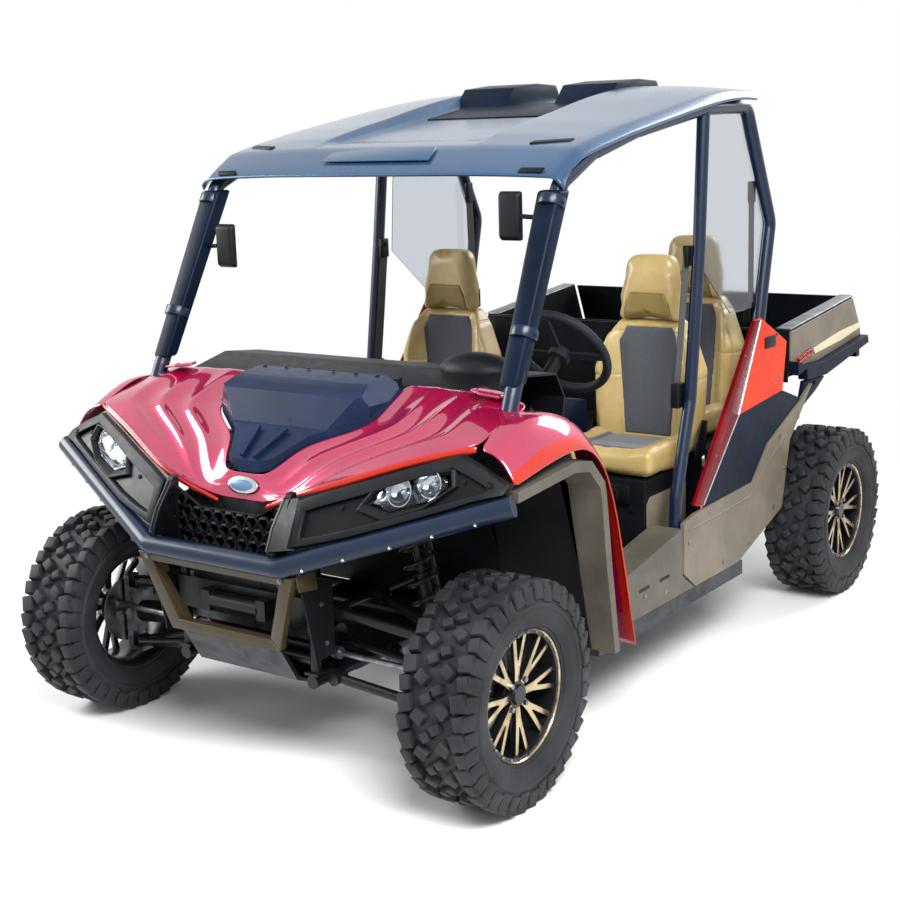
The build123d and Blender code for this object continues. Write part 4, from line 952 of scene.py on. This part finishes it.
shape = cageSheet(lining[1:-1])
creaseRim(shape)
addPiece("roofLining", shape, "blackPlastic", sharp=180, wall=roof["liningWall"],
         levels=1)
# dark scoops at the back of the recess
shape = bmesh.new()
for way in (-1, 1):
    addSlab(shape, upright(way * 104, [(1405, 1926), (1480, 2002), (1640, 2016), (1770, 2010), (1788, 1984),
                                       (1788, 1950)]), (way * 222, 0, 0))
addSlab(shape, [(-262, 1150, 1894), (262, 1150, 1894), (272, 1440, 1938), (-272, 1440, 1938)], (0, 0, 4))
addPiece("roofScoops", shape, "navyPlastic", soft=(8, 3))
# slots at each front corner and in the brow
shape = bmesh.new()
for way in (-1, 1):
    addSlab(shape, mirrored(way, [(520, 600, 1812), (640, 640, 1816), (640, 668, 1822), (520, 628, 1818)]),
            (0, 0, 6))
    addSlab(shape, mirrored(way, [(562, 470, 1732), (640, 470, 1731), (650, 482, 1744), (568, 482, 1745)]),
            (0, -4, 5))
addPiece("roofSlots", shape, "blackPlastic", soft=(2, 2))
shape = bmesh.new()
addSlab(shape, [(-215, 506, 1771), (215, 506, 1771), (200, 570, 1808), (-200, 570, 1808)], (0, -3, 3.5))
addPiece("visorPlate", shape, "roofPlastic", soft=(2, 2, 30))
print("roof made")


# seats, in metres but for the outlines and for voxel, cap, seam and wing
seat = {"voxel": 8.0, "pressure": 4.0, "frames": 20, "cap": 11.0, "seam": 4.0, "wing": 46.0,
        "leastFacing": 0.15, "rollFrom": 0.10, "rollSpan": 0.07}
seatPlaces = {"FrontLeft": (440, 1130, 670), "FrontRight": (-440, 1130, 670), "Rear": (365, 1600, 700.3)}


def evaluated(piece):
    return bpy.data.meshes.new_from_object(piece.evaluated_get(bpy.context.evaluated_depsgraph_get()))


def blowUp(form):
    # a cloth run under inner pressure; no point may move further than the cap
    before = [v.co.copy() for v in form.data.vertices]
    cloth = form.modifiers.new("cloth", "CLOTH")
    cloth.settings.use_pressure = True
    cloth.settings.uniform_pressure_force = seat["pressure"]
    cloth.settings.effector_weights.gravity = 0
    cloth.point_cache.frame_start, cloth.point_cache.frame_end = 1, seat["frames"]
    for step in range(1, seat["frames"] + 1):
        scene.frame_set(step)
    blown = evaluated(form)
    form.modifiers.clear()
    form.data = blown
    for vert, start in zip(form.data.vertices, before):
        move = vert.co - start
        if move.length > seat["cap"] / 1000:
            vert.co = start + move.normalized() * seat["cap"] / 1000
    scene.frame_set(1)


def puffed(shape):
    # turns a closed form into padded fabric, blows it up and smooths it
    form = bpy.data.objects.new("form", asTemplate(shape))
    scene.collection.objects.link(form)
    remesh = form.modifiers.new("remesh", "REMESH")
    remesh.mode, remesh.voxel_size = "VOXEL", seat["voxel"] / 1000
    form.data = evaluated(form)
    form.modifiers.clear()
    blowUp(form)
    ease = form.modifiers.new("ease", "SMOOTH")
    ease.iterations, ease.factor = 4, 0.5
    smooth = form.modifiers.new("smooth", "SUBSURF")
    smooth.levels = smooth.render_levels = 1
    made = bmesh.new()
    made.from_mesh(evaluated(form))
    bpy.data.objects.remove(form)
    return made


def cutAway(shape, place, normal, **options):
    bmesh.ops.bisect_plane(shape, geom=shape.verts[:] + shape.edges[:] + shape.faces[:], plane_co=place,
                           plane_no=normal, **options)


def sewPanel(shape, corners, axis):
    # cuts a convex panel's seams through the form and gives its faces the second cover; corners run round it
    sides = []
    middle = sum((Vector(c) for c in corners), Vector((0, 0))) / len(corners)
    for a, b in zip(corners, corners[1:] + corners[:1]):
        run = Vector(b) - Vector(a)
        flat = Vector((run.y, -run.x)).normalized()
        if flat.dot(middle - Vector(a)) > 0:
            flat = -flat
        place, normal = (Vector((p[0], 0, p[1]) if axis == "Y" else (p[0], p[1], 0)) for p in (a, flat))
        place /= 1000
        sides.append((place, normal))
        cutAway(shape, place, normal, dist=0.00005)
    for face in shape.faces:
        centre = face.calc_center_median()
        outward = -face.normal.y if axis == "Y" else face.normal.z
        inside = all((centre - place).dot(normal) < 0 for place, normal in sides)
        if outward > seat["leastFacing"] and inside:
            face.material_index = 1
    line = {v for e in shape.edges if len({f.material_index for f in e.link_faces}) == 2 for v in e.verts}
    ring = {o for v in line for e in v.link_edges for o in e.verts} - line
    shape.normal_update()
    moves = [(v, v.normal * -seat["seam"] / share) for group, share in ((line, 1000), (ring, 3000))
             for v in group]
    for vert, move in moves:
        vert.co += move


def rise(value, start, span):
    return max(0, min(1, (value - start) / span))


def uprightForm(half, front, depth, width):
    # padded upright form from half an outline of (x, z), that far behind the seat's own front
    shape = bmesh.new()
    outline = half + [(-x, z) for x, z in reversed(half)]
    addPlate(shape, [(x / 1000, front, z / 1000) for x, z in outline], (0, depth, 0))
    closeShape(shape)
    roundEdges(shape, width, 3, 40)
    return puffed(shape)


def cushionMesh():
    shape = bmesh.new()
    addBlock(shape, (-198, 6, 8), (198, 316, 100))
    for vert in shape.verts:
        vert.co -= spot(0, 0, 0)
        if vert.co.y < 0.1:
            vert.co.z += -0.012 if vert.co.z > 0.05 else 0.01
    roundEdges(shape, 22, 3, 30)
    closeShape(shape)
    form = puffed(shape)
    for vert in form.verts:
        # raised side rolls and a soft dip where one sits
        out = rise(abs(vert.co.x), seat["rollFrom"], seat["rollSpan"])
        if vert.co.z > 0.06:
            vert.co.z += 0.014 * out - 0.012 * (1 - out) * rise(vert.co.y, 0.06, 0.1)
        vert.co.z = max(vert.co.z, 0.0004)
    sewPanel(form, [(-128, 58), (128, 58), (112, 420), (-112, 420)], "Z")
    return asTemplate(form)


def backMesh():
    form = uprightForm([(178, 22), (208, 120), (216, 330), (168, 452), (124, 516)], 0.346, 0.082, 20)
    for vert in form.verts:
        # wing bolsters come forward round the sitter, and the back leans
        out = rise(abs(vert.co.x), seat["rollFrom"], seat["rollSpan"])
        front = rise(0.41 - vert.co.y, 0, 0.05)
        wing = seat["wing"] / 1000 * out * out * (3 - 2 * out) * front * 0.9
        vert.co.y += (vert.co.z - 0.11) * 0.035 - wing
        vert.co.y += 0.012 * (1 - out) * front
    sewPanel(form, [(-92, 88), (92, 88), (114, 425), (92, 478), (-92, 478), (-114, 425)], "Y")
    for height in (0.30, 0.46):
        # stitched break across each wing
        for vert in form.verts:
            near = abs(vert.co.z - height) / 0.006
            if near < 1 and abs(vert.co.x) > seat["rollFrom"] and vert.co.y < 0.42:
                vert.co -= vert.normal * 0.0026 * (1 - near)
    for face in form.faces:
        if face.normal.y > 0.6:
            face.material_index = 2
    return asTemplate(form)


def restMesh():
    form = uprightForm([(126, 500), (124, 590), (96, 706), (78, 734)], 0.362, 0.068, 18)
    for vert in form.verts:
        vert.co.y += (vert.co.z - 0.53) * 0.06 - 0.012
    # the lower front panel takes the second finish, a darker tan that is painted recess shade
    sewPanel(form, [(-98, 488), (98, 488), (88, 560), (66, 598), (-66, 598), (-88, 560)], "Y")
    return asTemplate(form)


seatForms = {"seatCushion": (cushionMesh(), ["vinyl", "seatFabric"], 0.7),
             "seatBack": (backMesh(), ["vinyl", "seatFabric", "backVinyl"], 0.65),
             "headRest": (restMesh(), ["vinyl", "vinylPaintedRecessShade"], 0.75)}
for title, place in seatPlaces.items():
    for kind, (template, looks, fill) in seatForms.items():
        shape = bmesh.new()
        stamp(shape, template, Matrix.Translation(spot(*place)))
        piece = addPiece(kind + title, shape, looks, sharp=75)
        if title == "Rear" and kind != "headRest":
            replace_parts(piece, "seat_cushions" if kind == "seatCushion" else "seat_backs")
shape = bmesh.new()
hinge = [(300, 20), (372, 30), (392, 150), (350, 160), (296, 70)]
for x, s, z in seatPlaces.values():
    # hinge plates and posts that carry the back and its rest
    for way in (-1, 1):
        addSlab(shape, upright(x + way * 214, [(s + a, z + b) for a, b in hinge]), (way * 5, 0, 0))
        addRod(shape, (x + way * 42, s + 402, z + 515), (x + way * 42, s + 404, z + 565), 6)
addPiece("seatHinges", shape, "framePowder", soft=(1.5, 2, 40))
print("seats made")


# cage trim, mirrors, belts and cab
cab = {"gripPitch": 26, "beltWidth": 46, "beltThick": 1.4, "gripHeight": 345}
beltHalf = cab["beltWidth"] / 2
for way, side in bothSides:
    shape = bmesh.new()
    for vert in bmesh.ops.create_cube(shape, size=1.0)["verts"]:
        out, back, high = vert.co.x * way > 0, vert.co.y > 0, vert.co.z > 0
        x = (712 if out else 634) if high else (724 if out else 662)
        s = (522 if back else 456) if high else (246 if back else 188)
        vert.co = spot(way * x, s, 1684 if high else 1150)
    piece = addPiece("pillarCover" + side, shape, "navyPlastic", soft=(11, 3, 30))
    if way > 0:
        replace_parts(piece, "pillar_covers")
    shape = bmesh.new()
    for z, s, x in ((1290, 296, 692), (1650, 478, 678)):
        # clamp bands round the post with their pinch bolts
        lean = Matrix.Rotation(math.radians(-27), 4, "X")
        addCone(shape, 40, 0.041, 0.041, 0.03, Matrix.Translation(spot(way * x, s - 10, z)) @ lean)
        addBolts(shape, [(way * (x + 40), s - 14, z)], (way, 0, 0), 6, 6)
    addPiece("postClamps" + side, shape, "cagePowder", soft=(2, 2, 40))

    # mirror: shell with a rounded back, its glass inset and a stalk
    x, s, z = (505, 432, 1535) if way > 0 else (515, 384, 1430)
    shape = bmesh.new()
    addBlock(shape, (way * x, s, z), (way * (x + 85), s + 24, z + 150))
    middle = spot(way * (x + 42), s, z + 75)
    for vert in shape.verts:
        if (vert.co - spot(0, s + 12, 0)).y < 0:
            vert.co = Vector((middle.x + (vert.co.x - middle.x) * 0.78, vert.co.y,
                              middle.z + (vert.co.z - middle.z) * 0.84))
    closeShape(shape)
    roundEdges(shape, 9, 4, 30)
    addRod(shape, (way * (x + 80), s + 12, z + 75), (way * (x + 150), s + 26, z + 70), 7)
    addPiece("mirrorShell" + side, shape, "blackPlastic")
    shape = bmesh.new()
    front = s + 24.2
    addSlab(shape, mirrored(way, [(x + 8, front, z + 10), (x + 77, front, z + 10), (x + 77, front, z + 140),
                                  (x + 8, front, z + 140)]), (0, 1.2, 0))
    piece = addPiece("mirrorGlass" + side, shape, "chrome", soft=(0.5, 2, 30))
    if way > 0:
        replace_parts(piece, "mirrors")

    # belt: retractor on the centre post and webbing up to its guide
    shape = bmesh.new()
    addBlock(shape, (way * 640, 1270, 905), (way * 672, 1332, 990))
    addBlock(shape, (way * 644, 1352, 1380), (way * 666, 1392, 1452))
    closeShape(shape)
    roundEdges(shape, 5, 3, 30)
    addBolts(shape, [(way * 643, 1372, 1430), (way * 639, 1300, 970)], (-way, 0, 0), 7, 5)
    addPiece("beltRetractor" + side, shape, "blackPlastic")
    shape = bmesh.new()
    path = [(650, 1302, 985), (650, 1330, 1160), (651, 1358, 1340), (650, 1371, 1425)]
    for (xLow, sLow, zLow), (xTop, sTop, zTop) in zip(path, path[1:]):
        addSlab(shape, mirrored(way, [(xLow, sLow - beltHalf, zLow), (xLow, sLow + beltHalf, zLow),
                                      (xTop, sTop + beltHalf, zTop), (xTop, sTop - beltHalf, zTop)]),
                (way * cab["beltThick"], 0, 0))
    closeShape(shape)
    belt = addPiece("belt" + side, shape, "webbing")
print("cage trim, mirrors and belts made")

# raised grips on the floor, then the sides and latches of the boxes under the seats
shape = bmesh.new()
for way in (-1, 1):
    for step in range(20):
        s, z = 640 + cab["gripPitch"] * step, cab["gripHeight"]
        for x in (330, 420, 510):
            addRod(shape, (way * (x - 34), s, z), (way * (x + 34), s + 12, z), 4.5, 8)
addPiece("floorGrips", shape, "blackPlastic", sharp=60)
shape = bmesh.new()
for way in (-1, 1):
    addSlab(shape, upright(way * 610.5, [(1152, 372), (1440, 372), (1440, 610), (1175, 610), (1152, 585)]),
            (way * 3, 0, 0))
addPiece("boxSides", shape, "tanPlastic", soft=(1.2, 2, 30))
shape = bmesh.new()
for way in (-1, 1):
    addBlock(shape, (way * 470, 1122, 588), (way * 560, 1139.5, 655))
    addBlock(shape, (way * 486, 1112, 600), (way * 520, 1123, 640))
closeShape(shape)
roundEdges(shape, 4, 2, 30)
addBolts(shape, [(way * x, 1139.5, 560) for way in (-1, 1) for x in (300, 560)], (0, -1, 0), 6, 4)
addPiece("boxLatches", shape, "framePowder")

# inner side of each wheel bay, closing it behind the wing, and the pod on the dash
shape = bmesh.new()
for way in (-1, 1):
    addSlab(shape, upright(way * 727, [(250, 1088), (425, 998), (500, 850), (553, 640), (605, 400),
                                       (606, 345), (541, 345), (473, 565), (415, 838), (350, 903),
                                       (250, 917)]), (way * 3, 0, 0))
closeShape(shape)
addPiece("cowlSides", shape, "blackPlastic")
shape = bmesh.new()
place = Matrix.Translation(spot(400, 470, 1140))
addBall(shape, (32, 16), 1.0, place @ Matrix.Diagonal((0.13, 0.085, 0.055, 1)))
cutAway(shape, spot(0, 0, 1134), (0, 0, -1), clear_outer=True)
bmesh.ops.holes_fill(shape, edges=shape.edges)
closeShape(shape)
addPiece("dashPod", shape, "blackPlastic", sharp=60)

# console between the front seats, and bolsters on both sides of it
shape = bmesh.new()
addSlab(shape, upright(-120, [(1150, 343), (1146, 700), (1240, 742), (1470, 756), (1520, 640), (1500, 343)]),
        (240, 0, 0))
addPiece("console", shape, "navyPlastic", sharp=60, soft=(18, 4, 30))
shape = bmesh.new()
for way in (-1, 1):
    addSlab(shape, upright(way * 121, [(1180, 690), (1172, 752), (1300, 812), (1420, 880), (1466, 868),
                                       (1462, 700)]), (way * 80, 0, 0))
addPiece("hipBolsters", shape, "navyPlastic", sharp=60, soft=(12, 4, 30))

# rear belts on the back posts
for way, side in bothSides:
    shape = bmesh.new()
    addBlock(shape, (way * 612, 1905, 1120), (way * 640, 1965, 1200))
    addBlock(shape, (way * 622, 1905, 1560), (way * 640, 1945, 1640))
    addPiece("rearRetractor" + side, shape, "blackPlastic", soft=(6, 3, 30))
    shape = bmesh.new()
    addSlab(shape, mirrored(way, [(626, 1912, 1195), (626, 1958, 1195), (630, 1948, 1600),
                                  (630, 1902, 1600)]), (way * cab["beltThick"], 0, 0))
    closeShape(shape)
    belt = addPiece("rearBelt" + side, shape, "webbing")

for name, look, width, segments in (
        ("steering_wheel", None, 2, 2), ("dashboard", None, 8, 3), ("side_sills", "sillPlastic", 6, 3),
        ("quarter_panels", None, 4, 3), ("quarter_inserts", "insertPlastic", 3, 3),
        ("quarter_scoops", None, 2, 2), ("storage_tub", None, 3, 2), ("winch", None, 3, 3),
        ("engine_block", None, 10, 3)):
    dressNode(name, look, width, segments)
print("cab made")


# sills, quarters and bed
quarter = {"plate": (1822, 1914, 1040, 1082), "bolt": (6, 3.5), "outer": 742}
for way, side in bothSides:
    shape = bmesh.new()
    addSlab(shape, upright(way * 726, [(1258, 577), (1322, 566), (1600, 836), (1778, 1151), (1734, 1156)]),
            (way * 15.2, 0, 0))
    addPiece("quarterStripe" + side, shape, "deepRed", soft=(1.2, 2, 30))
    shape = bmesh.new()
    addRods(shape, upright(way * 740.5, [(1324, 564), (1602, 834), (1780, 1149)]), 3.2, 12)
    addPiece("quarterTrim" + side, shape, "chrome", sharp=60)
    shape = bmesh.new()
    sLow, sTop, zLow, zTop = quarter["plate"]
    addBlock(shape, (way * 738, sLow, zLow), (way * 741.5, sTop, zTop))
    addPiece("quarterPlate" + side, shape, "blackPlastic", soft=(1.2, 2, 30))
    shape = bmesh.new()
    addBolts(shape, upright(way * quarter["outer"], [
        (1215, 455), (1700, 330), (1905, 430), (2010, 560), (1960, 690), (1480, 320), (2130, 735),
        (760, 330), (900, 348), (1040, 330)]), (way, 0, 0), *quarter["bolt"])
    addBolts(shape, upright(way * 738, [(1420, 720), (1650, 1040), (1930, 1080), (1960, 920)]), (way, 0, 0),
             *quarter["bolt"])
    addPiece("sideBolts" + side, shape, "steel", sharp=40)
    # pressed line along the lower panel and slots in the sill
    shape = bmesh.new()
    addRods(shape, upright(way * 741.2, [(1215, 500), (1440, 505), (1700, 515), (1850, 610), (2020, 690)]),
            3.0, 10)
    addPiece("quarterLine" + side, shape, "tanPlastic", sharp=60)
    shape = bmesh.new()
    for s in (720, 860, 1000):
        addBlock(shape, (way * 741.4, s, 372), (way * 742.6, s + 70, 384))
    closeShape(shape)
    addPiece("sillSlots" + side, shape, "blackPlastic")

    # bed: bright rail, cream stripe and the bracket under its lip
    shape = bmesh.new()
    addSlab(shape, upright(way * 641, [(2138, 1066), (2770, 1128), (2778, 1134), (2138, 1073)]),
            (way * 62, 0, 0))
    addPiece("bedRail" + side, shape, "railMetal", "bed", soft=(3, 3, 30))
    shape = bmesh.new()
    addSlab(shape, upright(way * 702.2, [(2360, 968), (2640, 1002), (2850, 1012), (2862, 990), (2640, 962),
                                         (2380, 944)]), (way * 1.6, 0, 0))
    closeShape(shape)
    addPiece("bedStripe" + side, shape, "creamPaint", "bed")
    shape = bmesh.new()
    addSlab(shape, upright(way * 701, [(2196, 752), (2240, 856), (2428, 850), (2432, 846), (2352, 806)]),
            (way * 22, 0, 0))
    closeShape(shape)
    roundEdges(shape, 4, 3, 30)
    addBolts(shape, [(way * 723, 2262, 815), (way * 723, 2330, 836)], (way, 0, 0), 7, 5)
    addPiece("bedBracket" + side, shape, "navyPlastic", "bed")
for name, width, segments in (("cargo_bed", 5, 3), ("bed_sides", 2, 2), ("bed_fenders", 4, 3),
                              ("tailgate", 3, 2)):
    dressNode(name, None, width, segments)
shape = bmesh.new()
for step in range(9):
    x = -560 + 140 * step
    addBlock(shape, (x - 22, 2160, 868.2), (x + 22, 2840, 873))
addPiece("bedRibs", shape, "blackPlastic", "bed", soft=(2, 2, 30))
print("sides and bed made")
